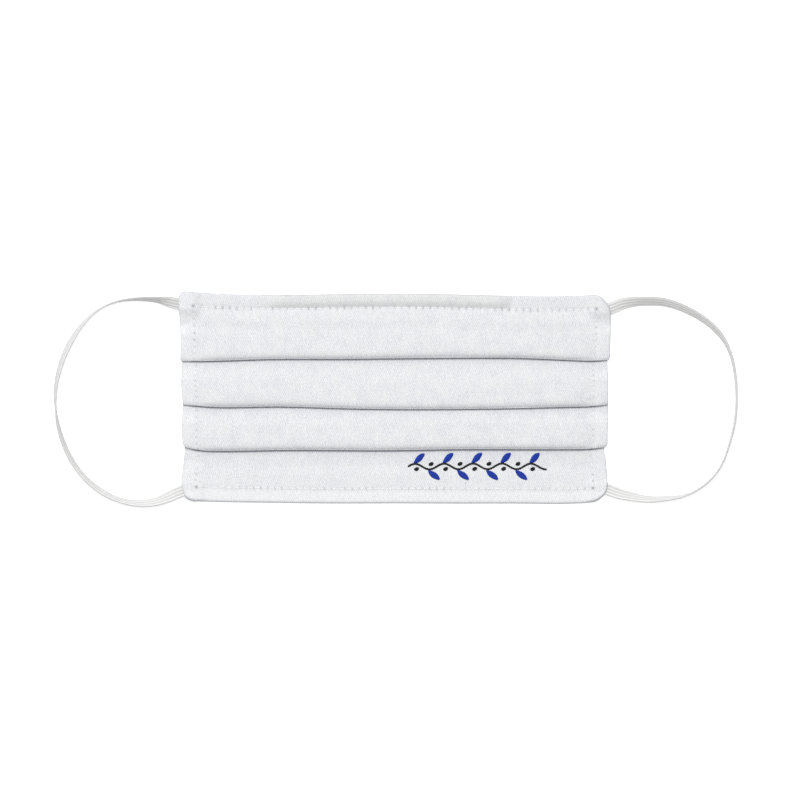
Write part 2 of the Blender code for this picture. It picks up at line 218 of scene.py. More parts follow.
# %% Climb and swell above a fold
# How far above its pleat's top each band climbs, and how far below that top the climb ends
CLIMBS = (10.0 * MM, 8.4 * MM, 6.0 * MM)
CLIMB_OVERLAP = 0.5 * MM
CLIMB_AT_SIDE = 0.35
CLIMB_GROWS = 14 * MM
SWELL = 1.25 * MM
SWELL_AT_SIDE = 0.35
SWELL_GROWS = 8 * MM
SEAM_PRESS = 0.8
SEAM_PRESS_REACH = 2.0 * MM
# Distance above a fold in mm, and how much of the swell stands there
SWELL_SHAPE = np.array((
    (0.0, 0.0), (0.5, 0.16), (0.9, 0.44), (1.4, 0.72), (2.0, 0.91), (2.6, 0.985),
    (3.2, 1.0), (4.5, 0.91), (6.0, 0.76), (9.0, 0.47), (12.0, 0.20), (15.0, 0.0),
))


def climb_to_pleat(above_fold, reach):
    """Two more layers are underneath from the top of the pleat down: half a ramp, half an ease"""
    share = np.clip((above_fold - PLEAT_DEPTH + CLIMB_OVERLAP) / (reach + CLIMB_OVERLAP), 0, 1)
    return 2 * LAYER * (1 - 0.5 * share - 0.5 * ease(0, 1, share))


def swell(above_fold, inset):
    """The springy stretch above a fold, pressed flat where the side seam crosses it"""
    shape = np.interp(above_fold, SWELL_SHAPE[:, 0] * MM, SWELL_SHAPE[:, 1])
    grown = ease(STITCH_INSET, STITCH_INSET + SWELL_GROWS, inset)
    free = SWELL_AT_SIDE + (1 - SWELL_AT_SIDE) * grown
    seam = 1 - SEAM_PRESS * ridge(STITCH_INSET, SEAM_PRESS_REACH, inset)
    return SWELL * shape * free * seam


# %% Ridges over the strip and the elastics' ends
STRIP_THICKNESS = 0.8 * MM
STRIP_WIDTH = 3.0 * MM
STRIP_LENGTH = 103.3 * MM
STRIP_OFFSET = -6.3 * MM
STRIP_ROOM = 0.50 * MM
# Where the ridge rises at the strip's left end and falls at its right end, measured from the
# end, and where it falls towards the seam, measured from the edge
RIDGE_RISES = (-3 * MM, 12 * MM)
RIDGE_FALLS = (-0.5 * MM, 5 * MM)
RIDGE_FOOT = (2.8 * MM, 6.3 * MM)
ELASTIC_THICKNESS = 1.0 * MM
ELASTIC_ROOM = {"top": 0.6 * MM, "bottom": 0.1 * MM}
# Where the cloth comes down off an elastic's end, inwards and down the hem
END_INWARDS = (6.0 * MM, 10.5 * MM)
END_DOWN = (6.5 * MM, 11.5 * MM)


def strip_ridge(across, depth):
    """The cloth over the strip in the top hem: level as far as the strip, then down to the seam"""
    from_middle = across * HALF_WIDTH - STRIP_OFFSET
    left_end, right_end = -STRIP_LENGTH / 2, STRIP_LENGTH / 2
    left = ease(left_end + RIDGE_RISES[0], left_end + RIDGE_RISES[1], from_middle)
    right = 1 - ease(right_end + RIDGE_FALLS[0], right_end + RIDGE_FALLS[1], from_middle)
    return (STRIP_THICKNESS + STRIP_ROOM) * left * right * (1 - ease(*RIDGE_FOOT, depth))


def elastic_ridge(end, inset, depth):
    """The cloth over an elastic's sewn end in the corner of a hem, with some room over it"""
    height = ELASTIC_THICKNESS + ELASTIC_ROOM[end]
    return height * (1 - ease(*END_INWARDS, inset)) * (1 - ease(*END_DOWN, depth))


print("ridge over the strip, mm:", round(float(strip_ridge(0.0, 0.0)) / MM, 2))


# %% [markdown]
# ## The cloth as one folded sheet
#
# The sheet is a function of two parameters. One runs across the mask. The other runs down the
# cloth itself: up the back of the top hem, over the edge, down the front, in and out of every
# pleat, and round the bottom edge to the back. Each stretch of that way is a short formula,
# and the whole front, with every hidden layer, is the stretches put end to end.

# %% Places across and down the cloth
STITCH_PITCH = 3.0 * MM
SEWN_HALF = 84.0 * MM
edge_insets = np.array((0, 0.04, 0.12, 0.25, 0.45, 0.75, 1.1, 1.6, 2.2, 2.9, 3.7, 4.6, 5.4, 6.05)) * MM
middle_places = np.linspace(-SEWN_HALF, SEWN_HALF, 169)
u_places = np.concatenate((edge_insets - HALF_WIDTH, middle_places, (HALF_WIDTH - edge_insets)[::-1]))
across = u_places / HALF_WIDTH
inset = HALF_WIDTH - np.abs(u_places)
QUARTER_TURNS = np.radians(np.linspace(-90, 90, 8))[:, None]

# Depths of the rows on the back and front of a hem, and heights of the last rows above a fold
hem_back_depths = np.array((11.5, 10.2, 8.9, 7.6, 6.6, 6.05, 5.5, 4.5, 3.5, 2.6))[:, None] * MM
hem_front_depths = np.array((
    1.6, 2.1, 2.6, 3.1, 3.6, 4.1, 4.6, 5.1, 5.6, 6.05, 6.5, 7.0, 7.6, 8.4,
))[:, None] * MM
fold_approach = np.array((5.0, 4.2, 3.6, 3.0, 2.5, 2.0, 1.6, 1.3, 1.05))[:, None] * MM
print("places across the cloth:", len(u_places))


def hem_y(number, end, depth):
    """Y at a depth in from a hem's edge: the corner's rounding fades out as the depth grows"""
    inward = -1 if end == "top" else 1
    fading = np.maximum(0, 1 - depth / HEM_SETTLES)
    return line(number, across) + inward * (depth + corner_drop(end, across) * fading)


def hem_turn(number, end, height):
    """Half circle round a hem's edge, from the back up to the front, height being its diameter"""
    inward = -1 if end == "top" else 1
    edge = hem_y(number, end, 0.0)
    centre = edge + inward * (height + CLOTH) / 2
    y = centre - inward * height / 2 * np.cos(QUARTER_TURNS)
    return y, LOW + height / 2 * (1 + np.sin(QUARTER_TURNS))


# %% Stretches of the cloth, from the back of the top hem to the back of the bottom hem
stretches = []


def add_stretch(kind, band, y, z):
    """Keep a stretch: y and z with a row for each place down the cloth, a column across it"""
    y, z = np.broadcast_arrays(y, z)
    stretches.append((kind, band, y, z))


def front_height(band, y):
    """Height of a band's front: hem layer, ridges, climb to the pleat below it, and swell"""
    height = LOW + np.zeros_like(y)
    if band == 0:
        depth = line(0, across) - y
        height += LAYER + np.maximum(strip_ridge(across, depth), elastic_ridge("top", inset, depth))
        height -= LAYER * ease(HEM_DEPTH - 1 * MM, HEM_DEPTH + 4 * MM, depth)
    if band == 3:
        depth = y - line(4, across)
        height += elastic_ridge("bottom", inset, depth)
        height += LAYER * (1 - ease(HEM_DEPTH, HEM_DEPTH + 5 * MM, depth))
        height -= HEM_ROUND * (1 - ease(0.6 * MM, 4.5 * MM, depth))
    if band < 3:
        above_fold = y - line(band + 1, across)
        reach = CLIMB_AT_SIDE + (1 - CLIMB_AT_SIDE) * ease(0, CLIMB_GROWS, inset)
        reach = CLIMBS[band] * reach
        height += climb_to_pleat(above_fold, reach) + swell(above_fold, inset)
    return height


top_rise = front_height(0, hem_y(0, "top", hem_front_depths[0])) - LOW
foot_rise = front_height(3, hem_y(4, "bottom", hem_front_depths[0])) - LOW

back_y = hem_y(0, "top", hem_back_depths)
add_stretch("hem back", 0, back_y, LOW)
add_stretch("edge", 0, *hem_turn(0, "top", top_rise))
front_y = hem_y(0, "top", hem_front_depths)
add_stretch("hem front", 0, front_y, front_height(0, front_y))

# %% Rows of the bands and pleats, and of the bottom hem
BAND_STEPS = np.linspace(0, 1, 18)[1:, None]
HIDDEN_STEPS = np.linspace(0, 1, 7)[1:, None]
APPROACH = 5.6 * MM
fold_turn = CLOTH / 2 + LAYER / 2
for band in range(3):
    fold = line(band + 1, across)
    start = stretches[-1][2][-1]
    band_y = start + BAND_STEPS * (fold + APPROACH - start)
    add_stretch("band", band, band_y, front_height(band, band_y))
    approach_y = fold + fold_approach
    add_stretch("band", band, approach_y, front_height(band, approach_y))
    turn_y = fold + fold_turn - LAYER / 2 * np.cos(QUARTER_TURNS)
    add_stretch("fold", band, turn_y, (LOW + 1.5 * LAYER + LAYER / 2 * np.sin(QUARTER_TURNS))[::-1])
    hidden_top = fold + PLEAT_DEPTH - fold_turn
    inner_y = fold + fold_turn + HIDDEN_STEPS[:-1] * (hidden_top - fold - fold_turn)
    add_stretch("hidden", band + 1, inner_y, LOW + LAYER)
    turn_y = hidden_top + LAYER / 2 * np.cos(QUARTER_TURNS)
    add_stretch("hidden", band + 1, turn_y, (LOW + LAYER / 2 * (1 + np.sin(QUARTER_TURNS)))[::-1])
    back_y = hidden_top + HIDDEN_STEPS * (fold - hidden_top)
    add_stretch("hidden", band + 1, back_y, LOW)

start = stretches[-1][2][-1]
foot_y = hem_y(4, "bottom", hem_front_depths[::-1])
band_y = start + BAND_STEPS[:-1] * (foot_y[0] - start)
add_stretch("band", 3, band_y, front_height(3, band_y))
add_stretch("hem front", 3, foot_y, front_height(3, foot_y))
turn_y, turn_z = hem_turn(4, "bottom", foot_rise)
add_stretch("edge", 3, turn_y[::-1], turn_z[::-1])
back_y = hem_y(4, "bottom", hem_back_depths[::-1])
add_stretch("hem back", 3, back_y, LOW)
print("stretches of cloth:", len(stretches), "rows:", sum(len(s[2]) for s in stretches))

# %% [markdown]
# The middle of the wall is known now. Its distance down the cloth, measured along the middle
# column, is the second coordinate of the cloth's own map, on which the weave is drawn and the
# stitches are sewn. Across the wall, each side edge pulls the whole row with it.

# %% Middle surface of the wall
middle_y = np.vstack([s[2] for s in stretches])
middle_z = np.vstack([s[3] for s in stretches])
row_band = np.concatenate([np.full(len(s[2]), s[1]) for s in stretches])
row_kind = np.concatenate([np.full(len(s[2]), s[0], dtype=object) for s in stretches])
centre = middle_y.shape[1] // 2
row_v = np.append(0, np.cumsum(np.hypot(np.diff(middle_y[:, centre]), np.diff(middle_z[:, centre]))))

left_inset = np.zeros_like(middle_y)
right_inset = np.zeros_like(middle_y)
for band in range(4):
    rows = row_band == band
    top_line = line(band, across)
    down = (top_line - middle_y[rows]) / (top_line - line(band + 1, across))
    left_inset[rows], right_inset[rows] = side_insets(band, np.clip(down, 0, 1))
left_x = left_inset - HALF_WIDTH
right_x = HALF_WIDTH - right_inset
middle_x = (left_x + right_x) / 2 + across * (right_x - left_x) / 2
print("cloth from cut end to cut end, mm:", round(row_v[-1] / MM, 1))

# %% [markdown]
# ## Unevenness, seams and puckers
#
# A pressed mask still isn't flat. Its bands roll by a few tenths of a millimetre. Every seam
# draws the cloth down into a shallow valley, a little deeper at each needle hole, and small
# creases run out of the holes at right angles to the seam. A sum of a few long waves makes
# the rolling, and soft bumps along the seams make the rest. Only the face is pressed in, so
# the layers below are never touched.

# %% Rolling of the bands
ROLL = 0.16 * MM
# Waves across and down the mask, their phase in turns, and their share of ROLL
ROLL_WAVES = (
    (2.3, 0.6, 0.10, 0.40), (3.7, -1.1, 0.55, 0.25),
    (6.1, 1.9, 0.30, 0.20), (9.4, -2.6, 0.80, 0.15),
)
MASK_HEIGHT = BAND_HEIGHTS.sum()


def rolling(x, y):
    """Sum of sine waves of x / width and y / height, raised so that it is never below nothing"""
    total = sum(share * np.sin(2 * np.pi * (nx * x / PANEL_WIDTH + ny * y / MASK_HEIGHT + phase))
                for nx, ny, phase, share in ROLL_WAVES)
    return ROLL * (1 + total)


is_front = np.isin(row_kind, ("band", "hem front"))[:, None]
below_top = np.zeros_like(middle_y)
above_foot = np.zeros_like(middle_y)
for band in range(4):
    rows = row_band == band
    below_top[rows] = line(band, across) - middle_y[rows]
    above_foot[rows] = middle_y[rows] - line(band + 1, across)
over_hem = ease(4 * MM, 18 * MM, above_foot)
over_fold = ease(2 * MM, 7 * MM, above_foot)
settled = np.where(row_band[:, None] == 3, over_hem, over_fold)
free_cloth = is_front * ease(1.5 * MM, 7 * MM, below_top) * settled
roll = free_cloth * rolling(middle_x, middle_y)
middle_z = middle_z + roll
print("highest roll, mm:", round(roll.max() / MM, 2))


# %% Where the seams run
def seam_v(kind, band):
    """V of the row that was laid at the seam's depth, on the front or back of a hem"""
    rows = np.flatnonzero((row_kind == kind) & (row_band == band))
    depths = hem_front_depths if kind == "hem front" else hem_back_depths
    depths = depths[:, 0] if band == 0 else depths[::-1, 0]
    return row_v[rows[np.argmin(np.abs(depths - STITCH_INSET))]]


v_top = seam_v("hem front", 0)
v_bottom = seam_v("hem front", 3)
side_u = HALF_WIDTH - STITCH_INSET
print("seams at v, mm:", round(v_top / MM, 1), round(v_bottom / MM, 1), "and u", round(side_u / MM, 1))

# %% Seams pressed into the face
SEAM_VALLEY = {"top": 0.14 * MM, "bottom": 0.03 * MM, "side": 0.09 * MM, "back": 0.20 * MM}
VALLEY_REACH = 0.9 * MM
HOLE_DENT, HOLE_REACH = 0.15 * MM, 0.8 * MM
PUCKER, PUCKER_REACH = 0.08 * MM, 2.4 * MM
LOW_SEAM_SHARE = 0.25
FAR = 1.0

seam_distance = np.full(middle_y.shape, FAR)
side_distance = np.abs(inset - STITCH_INSET)
valley = SEAM_VALLEY["side"] * ridge(0, VALLEY_REACH, side_distance) + np.zeros_like(middle_y)
for band, end, number in ((0, "top", 0), (3, "bottom", 4)):
    rows = (row_band == band) & (row_kind != "hidden")
    depth = np.abs(line(number, across) - middle_y[rows])
    seam_distance[rows] = np.abs(depth - STITCH_INSET)
    deep = np.where(row_kind[rows] == "hem back", SEAM_VALLEY["back"], SEAM_VALLEY[end])[:, None]
    valley[rows] = np.maximum(valley[rows], deep * ridge(0, VALLEY_REACH, seam_distance[rows]))
at_hole = 0.5 + 0.5 * np.cos(2 * np.pi * u_places / STITCH_PITCH)
at_hole = at_hole * np.where(row_band == 3, LOW_SEAM_SHARE, 1.0)[:, None]
at_hole = at_hole * ease(STITCH_INSET - 1 * MM, STITCH_INSET + 1 * MM, inset)
dent = valley + HOLE_DENT * at_hole * ridge(0, HOLE_REACH, seam_distance)
dent = dent + PUCKER * at_hole * ridge(0, PUCKER_REACH, seam_distance)
print("deepest valley, mm:", round(valley.max() / MM, 2))

# %% [markdown]
# In each corner the seam turns round a needle hole, over the thick end of the elastic. The
# cloth is gathered there: creases run out of the hole in all directions. In polar terms, with
# the hole as the pole, they are a cosine of the angle that grows away from the hole and then
# dies out. A few more soft dents lie here and there on the face.

# %% Gathers in the corners and soft dents
GATHER_DEPTH = 0.26 * MM
GATHER_REACH = 3.1 * MM
DEEPEST_DENT = 0.5 * MM
# Side, seam, creases in a full turn, and turn of the first one in radians
GATHERS = ((-1, "top", 9, 0.4), (1, "top", 7, 2.0), (-1, "bottom", 8, 1.1), (1, "bottom", 6, 0.2))
# Place, half length and half height in mm, turn in degrees, and depth in mm
DENTS = (
    (-86.3, -25.4, 2.6, 0.8, 5, 0.48), (-80.5, -31.0, 3.5, 1.3, 35, 0.16),
    (35.5, -35.2, 2.2, 1.5, 0, 0.18), (67.0, -34.0, 1.4, 2.6, 10, 0.20),
    (85.6, -29.5, 0.9, 4.0, 12, 0.18), (76.0, 31.0, 2.2, 5.0, -8, 0.14),
    (-60.0, 22.0, 9.0, 2.0, -12, 0.10), (20.0, 18.5, 12.0, 2.2, 8, 0.10),
    (52.0, -2.0, 8.0, 1.8, -15, 0.10), (-30.0, -13.5, 10.0, 1.6, 6, 0.10),
    (-45.0, -28.0, 9.0, 2.0, 10, 0.12), (80.5, 4.0, 1.3, 5.0, 5, 0.13),
)
for side, end, creases, turn in GATHERS:
    out = side * u_places - side_u
    down = (row_v - (v_top if end == "top" else v_bottom))[:, None]
    away = np.hypot(out, down)
    wave = 0.5 + 0.5 * np.cos(creases * np.arctan2(down, out) + turn)
    dent = dent + GATHER_DEPTH * wave * (away / GATHER_REACH) ** 0.7 * ridge(0, GATHER_REACH, away)
for x, y, half_length, half_height, turn, depth in DENTS:
    tilt = np.radians(turn)
    along = (middle_x - x * MM) * np.cos(tilt) + (middle_y - y * MM) * np.sin(tilt)
    up = (middle_y - y * MM) * np.cos(tilt) - (middle_x - x * MM) * np.sin(tilt)
    spot = ridge(0, half_length * MM, along) * ridge(0, half_height * MM, up)
    dent = dent + is_front * depth * MM * spot
dent = np.minimum(dent, DEEPEST_DENT)
print("deepest dent in the face, mm:", round(dent.max() / MM, 2))

# %% [markdown]
# ## From a sheet to a closed wall
#
# The wall is the middle surface moved half a thickness each way along its normal. Towards the
# side edges it thins in a quarter circle, which rounds them. Face and lining are then one
# closed ring of rows, with a strip of faces over each side.

# %% Face and lining
EDGE_ROUND = 0.5 * MM
THINNEST_SHARE = 0.02
along_y = np.gradient(middle_y, axis=0)
along_z = np.gradient(middle_z, axis=0)
length = np.hypot(along_y, along_z)
outward = np.stack((np.zeros_like(middle_x), along_z / length, -along_y / length), axis=-1)
half = CLOTH / 2 * np.sqrt(1 - (1 - np.clip(inset / EDGE_ROUND, THINNEST_SHARE, 1)) ** 2)
face_out = half - dent * np.clip(half / LOW, 0, 1)
lining_out = half - SEAM_VALLEY["back"] * ridge(0, VALLEY_REACH, side_distance)
middle = np.stack((middle_x, middle_y, middle_z), axis=-1)
face = middle + outward * face_out[..., None]
lining = middle - outward * lining_out[..., None]
ring = np.concatenate((face, lining[::-1]))
ring_v = np.concatenate((row_v, row_v[::-1]))
print("ring of rows round the wall:", len(ring_v))


# %% A mesh from a grid of points
def grid_faces(rows, columns, closed):
    """Corner numbers of the quads of a grid whose rows close into a ring if closed is set"""
    row = np.arange(rows if closed else rows - 1)[:, None] * columns
    following = (row + columns) % (rows * columns)
    column = np.arange(columns - 1)
    corners = (row + column, following + column, following + column + 1, row + column + 1)
    return np.stack(corners, axis=-1).reshape(-1, 4)


def make_mesh(name, points, faces, uv=None):
    """Mesh object from arrays: points (n, 3), equal-sided faces (m, k), uv (n, 2) for each point"""
    mesh = bpy.data.meshes.new(name)
    points = np.asarray(points, dtype=np.float32).reshape(-1, 3)
    faces = np.asarray(faces, dtype=np.int32)
    sides = faces.shape[1]
    mesh.vertices.add(len(points))
    mesh.vertices.foreach_set("co", points.ravel())
    mesh.loops.add(faces.size)
    mesh.loops.foreach_set("vertex_index", faces.ravel())
    mesh.polygons.add(len(faces))
    mesh.polygons.foreach_set("loop_start", np.arange(len(faces), dtype=np.int32) * sides)
    mesh.update(calc_edges=True)
    mesh.validate()
    if uv is not None:
        layer = mesh.uv_layers.new(name="cloth_map")
        layer.data.foreach_set("uv", np.asarray(uv, dtype=np.float32)[faces.ravel()].ravel())
    mesh.shade_smooth()
    piece = bpy.data.objects.new(name, mesh)
    bpy.context.scene.collection.objects.link(piece)
    return piece


ring_rows, columns = ring.shape[:2]
walls = grid_faces(ring_rows, columns, closed=True)
on_face = np.arange(ring_rows // 2 - 1) * columns
on_lining = (ring_rows - 1) * columns - on_face
left_caps = np.stack((on_face, on_lining, on_lining - columns, on_face + columns), axis=-1)
right_caps = left_caps[:, ::-1] + columns - 1
cloth_faces = np.concatenate((walls, left_caps, right_caps))
cloth_uv = np.stack(np.broadcast_arrays(u_places[None, :], ring_v[:, None]), axis=-1).reshape(-1, 2)
cloth = make_mesh("pleated_cloth", ring, cloth_faces, cloth_uv)
print("cloth:", len(cloth.data.polygons), "quads")

# %% [markdown]
# Three masks say where the cloth isn't its usual self. The first is painted shade: a darker colour
# inside the pleats, under and beside every fold, under the rolled edges and along the side edges, where
# shade falls. In the hems more layers make the cloth whiter, and over the strip its cream colour shines
# through. Each is a number at every point of the mesh.


# %% Masks on the cloth
def add_mask(piece, name, values):
    """Store one number for each point of a mesh under a name that materials can read"""
    mask = piece.data.attributes.new(name, "FLOAT", "POINT")
    mask.data.foreach_set("value", np.asarray(values, dtype=np.float32).ravel())


def both_sides(values):
    """The same mask on the face and on the lining"""
    return np.concatenate((values, values[::-1]))


# Painted shade of a fold and its reach in mm, on the band above it and on the band below it
SHADES_ABOVE = ((0.30, 0.75), (0.16, 1.7))
SHADES_BELOW = ((0.16, 1.4), (0.08, 4.5))
# Band, line, painted shade under the rolled edge, and the place round its turn where that shade has
# ended
EDGE_SHADES = ((0, 0, 0.45, 0.85), (3, 4, 0.62, 1.25))
EDGE_FADES = 0.7
# Painted shade along the side edges
PAINTED_SIDE_SHADE = 0.34
SIDE_HEM = (0.46, 0.24)
HEM_GLOW = 0.45


def painted_fold_shade(table, distance):
    """Sum of soft bumps of the shades and reaches in a table"""
    return sum(shade * ridge(0, reach * MM, distance) for shade, reach in table)


# Painted shade, a darker colour where shade falls: inside the pleats, round each fold's turn, on the
# bands just above and below each fold, under the rolled edges and along the side edges
painted_shade = np.zeros_like(middle_y)
painted_shade[row_kind == "hidden"] = ease(1.0 * MM, 4 * MM, inset)
pressed = 0.45 + 0.55 * ease(0, 12 * MM, inset)
for band in range(3):
    turn_rows = np.flatnonzero((row_kind == "fold") & (row_band == band))
    painted_shade[turn_rows] = ease(0.05, 0.45, np.linspace(0, 1, len(turn_rows)))[:, None] * pressed
    face_rows = np.flatnonzero((row_kind == "band") & (row_band == band))
    painted_shade[face_rows] += pressed * painted_fold_shade(SHADES_ABOVE, above_foot[face_rows])
    next_rows = np.flatnonzero((row_kind == "band") & (row_band == band + 1))
    painted_shade[next_rows] += pressed * painted_fold_shade(SHADES_BELOW, below_top[next_rows])
edge_depth = np.full(middle_y.shape, FAR)
for band, number, shade, ended in EDGE_SHADES:
    rows = (row_band == band) & (row_kind != "hidden")
    edge_depth[rows] = np.abs(line(number, across) - middle_y[rows])
    turn_rows = np.flatnonzero((row_kind == "edge") & (row_band == band))
    quarter = np.abs(np.linspace(-1, 1, len(turn_rows)))
    painted_shade[turn_rows] = shade * (1 - ease(ended - EDGE_FADES, ended, quarter))[:, None]
painted_side_shade = PAINTED_SIDE_SHADE * (1 - ease(0.1 * MM, 0.55 * MM, inset))
painted_shade = np.maximum(painted_shade, painted_side_shade * (row_kind != "hidden")[:, None])

# %% Hem and cream masks
hem = 1 - ease(STITCH_INSET - 1.9 * MM, STITCH_INSET + 0.3 * MM, edge_depth)
side_hem = 1 - ease(STITCH_INSET - 1.0 * MM, STITCH_INSET + 0.2 * MM, inset)
side_hem = side_hem * np.where(across < 0, *SIDE_HEM)
hem = np.maximum(hem, HEM_GLOW * (1 - ease(9 * MM, 16 * MM, edge_depth)))
hem = np.maximum(hem * (row_band == 3)[:, None], side_hem)
cream = strip_ridge(across, edge_depth) / (STRIP_THICKNESS + STRIP_ROOM) * (row_band == 0)[:, None]
for name, values in (("painted_shade", painted_shade), ("hem", hem), ("cream", cream)):
    add_mask(cloth, name, both_sides(values))
    print("mask", name, "covers", round(100 * float(np.mean(values > 0.5)), 1), "% of the points")

# %% [markdown]
# Thin, long pieces such as this are easy to turn inside out. Each face gives its height times
# its area times the upright part of its normal, and the sum over all faces is the volume they
# close in: if it comes out negative, every face is turned round.


# %% Faces point outwards
def face_outwards(piece):
    """Flip all faces if the volume they enclose, the sum of z * area * normal z, is negative"""
    mesh = piece.data
    count = len(mesh.polygons)
    centres = np.empty(count * 3)
    normals = np.empty(count * 3)
    areas = np.empty(count)
    mesh.polygons.foreach_get("center", centres)
    mesh.polygons.foreach_get("normal", normals)
    mesh.polygons.foreach_get("area", areas)
    volume = np.sum(centres[2::3] * normals[2::3] * areas)
    if volume < 0:
        mesh.flip_normals()
    print(piece.name, "encloses", round(abs(volume) * 1e6, 2), "cubic cm")


face_outwards(cloth)

# %% [markdown]
# ## Sewing on the cloth's own map
#
# A stitch is placed where a needle would put it: at a place on the flat cloth. The function
# below turns such places into points in space, by reading the face's grid between its rows
# and columns. So a row of stitches is a straight line on the map, and follows every wave,
# ridge and hem by itself.


# %% From the map to the folded cloth
def on_cloth(u, v, outer=True):
    """Points and outward normals of the face or lining at map places, read bilinearly off its grid"""
    grid, way = (face, 1) if outer else (lining, -1)
    row = np.clip(np.interp(v, row_v, np.arange(len(row_v))), 0, len(row_v) - 1.001)
    column = np.clip(np.interp(u, u_places, np.arange(len(u_places))), 0, len(u_places) - 1.001)
    i, j = row.astype(int), column.astype(int)
    a, b = (row - i)[..., None], (column - j)[..., None]
    near = grid[i, j] * (1 - b) + grid[i, j + 1] * b
    far = grid[i + 1, j] * (1 - b) + grid[i + 1, j + 1] * b
    return near * (1 - a) + far * a, way * outward[i, j]


# %% [markdown]
# A thread between two needle holes is a short tube. It rises out of one hole, lies on the
# cloth and sinks into the other. All the tubes of a seam are made at once: an array of start
# places, an array of end places, and a few stations along each.


# %% Many stitches at once
TUBE_STATIONS = 7
TUBE_SIDES = 6
THINNEST_THREAD = 0.12


def stitches(name, starts, ends, radius, lift, outer=True):
    """Tubes over the face or lining from starts to ends, two arrays of (u, v), in one mesh

    A tube's middle stands lift * (1 - (2s - 1)^4) over the face at the share s of its way,
    less its radius at the two ends. Its own radius falls off there, as sqrt(1 - (2s - 1)^8).
    """
    share = np.linspace(0, 1, TUBE_STATIONS)
    way = 2 * share - 1
    flat = starts[:, None, :] + (ends - starts)[:, None, :] * share[:, None]
    points, normals = on_cloth(flat[..., 0], flat[..., 1], outer)
    height = (lift + radius) * (1 - way ** 4) - radius
    points = points + normals * height[:, None]
    along = np.gradient(points, axis=1)
    along /= np.linalg.norm(along, axis=-1, keepdims=True)
    sideways = np.cross(along, normals)
    sideways /= np.linalg.norm(sideways, axis=-1, keepdims=True)
    upwards = np.cross(sideways, along)
    turn = np.linspace(0, 2 * np.pi, TUBE_SIDES, endpoint=False)[:, None]
    girth = radius * np.maximum(THINNEST_THREAD, np.sqrt(1 - way ** 8))[:, None, None]
    circle = np.cos(turn) * sideways[:, :, None, :] + np.sin(turn) * upwards[:, :, None, :]
    tubes = points[:, :, None, :] + girth * circle
    station = np.arange(TUBE_STATIONS - 1)[:, None] * TUBE_SIDES
    following = station + TUBE_SIDES
    side = np.arange(TUBE_SIDES)
    after = (side + 1) % TUBE_SIDES
    quads = np.stack((station + side, station + after, following + after, following + side), axis=-1)
    first_cap = np.array([(0, k + 1, k) for k in range(1, TUBE_SIDES - 1)])
    last_cap = (TUBE_STATIONS - 1) * TUBE_SIDES + first_cap[:, ::-1]
    caps = np.concatenate((first_cap, last_cap))
    shift = np.arange(len(starts))[:, None, None] * TUBE_STATIONS * TUBE_SIDES
    faces = (quads.reshape(-1, 4) + shift).reshape(-1, 4).tolist()
    faces += (caps + shift).reshape(-1, 3).tolist()
    mesh = bpy.data.meshes.new(name)
    mesh.from_pydata(tubes.reshape(-1, 3).tolist(), [], faces)
    mesh.shade_smooth()
    piece = bpy.data.objects.new(name, mesh)
    bpy.context.scene.collection.objects.link(piece)
    print(name + ":", len(starts), "stitches,", len(mesh.polygons), "faces")
    return piece


# %% [markdown]
# ## The seam
#
# One seam runs round the mask, six millimetres in. Along the top and bottom its stitches are
# three millimetres long, and down the sides a little shorter. Where a fold covers the side
# seam nothing shows, so each band has its own run.

# %% Rows of stitches
SIDE_PITCH = 2.6 * MM
THREAD_RADIUS = 0.19 * MM
THREAD_LIFT = 0.04 * MM
# How far below a pleat a side run starts, and how far above the next fold it stops
RUN_STARTS, RUN_STOPS = 0.3 * MM, 0.5 * MM
LONG_STITCH = (STITCH_PITCH, 0)
SIDE_STITCH = (0, SIDE_PITCH)
holes = np.arange(-28, 28) * STITCH_PITCH


def long_row(v):
    """Starts of the stitches along a hem, all at one place down the cloth"""
    return np.stack((holes, np.full_like(holes, v)), axis=-1)


def side_row(side, first, last):
    """Starts of side stitches between two places down the cloth, on the beat of SIDE_PITCH"""
    beats = np.arange(np.ceil(first / SIDE_PITCH), np.floor(last / SIDE_PITCH)) * SIDE_PITCH
    return np.stack((np.full_like(beats, side * side_u), beats), axis=-1)


def side_run(side, band):
    """Starts of the side stitches that show on one band"""
    rows = np.flatnonzero((row_band == band) & np.isin(row_kind, ("band", "hem front")))
    first = v_top if band == 0 else row_v[rows[0]] + RUN_STARTS
    last = v_bottom if band == 3 else row_v[rows[-1]] - RUN_STOPS
    return side_row(side, first, last)


long_starts = np.concatenate((long_row(v_top), long_row(v_bottom)))
side_starts = np.concatenate([side_run(side, band) for side in (-1, 1) for band in range(4)])
seam_starts = np.concatenate((long_starts, side_starts))
seam_ends = np.concatenate((long_starts + LONG_STITCH, side_starts + SIDE_STITCH))
seam_thread = stitches("seam_thread", seam_starts, seam_ends, THREAD_RADIUS, THREAD_LIFT)

# %% [markdown]
# A machine makes the same seam on the other side with its second thread. That side lies on
# the floor, so the thread sinks into the seam's valley. Along the hems it is sewn on the
# turned cloth, and down the sides on the lining, strip by strip between the pleats.

# %% Under side of the seam
LOWEST_SHARE = 0.25
SHORTEST_RUN = 5
low_rows = np.flatnonzero(middle_z[:, centre] < LOW + LOWEST_SHARE * LAYER)
low_rows = low_rows[row_kind[low_rows] != "hem back"]
low_runs = np.split(low_rows, np.flatnonzero(np.diff(low_rows) > 1) + 1)
under_starts = np.concatenate([
    side_row(side, row_v[run[0]], row_v[run[-1]])
    for run in low_runs if len(run) > SHORTEST_RUN
    for side in (-1, 1)
])
under_thread = stitches("seam_thread_under", under_starts, under_starts + SIDE_STITCH,
                        THREAD_RADIUS, 0.0, outer=False)
hem_starts = np.concatenate([long_row(seam_v("hem back", band)) for band in (0, 3)])
hem_thread = stitches("hem_thread_under", hem_starts, hem_starts + LONG_STITCH, THREAD_RADIUS, 0.0)

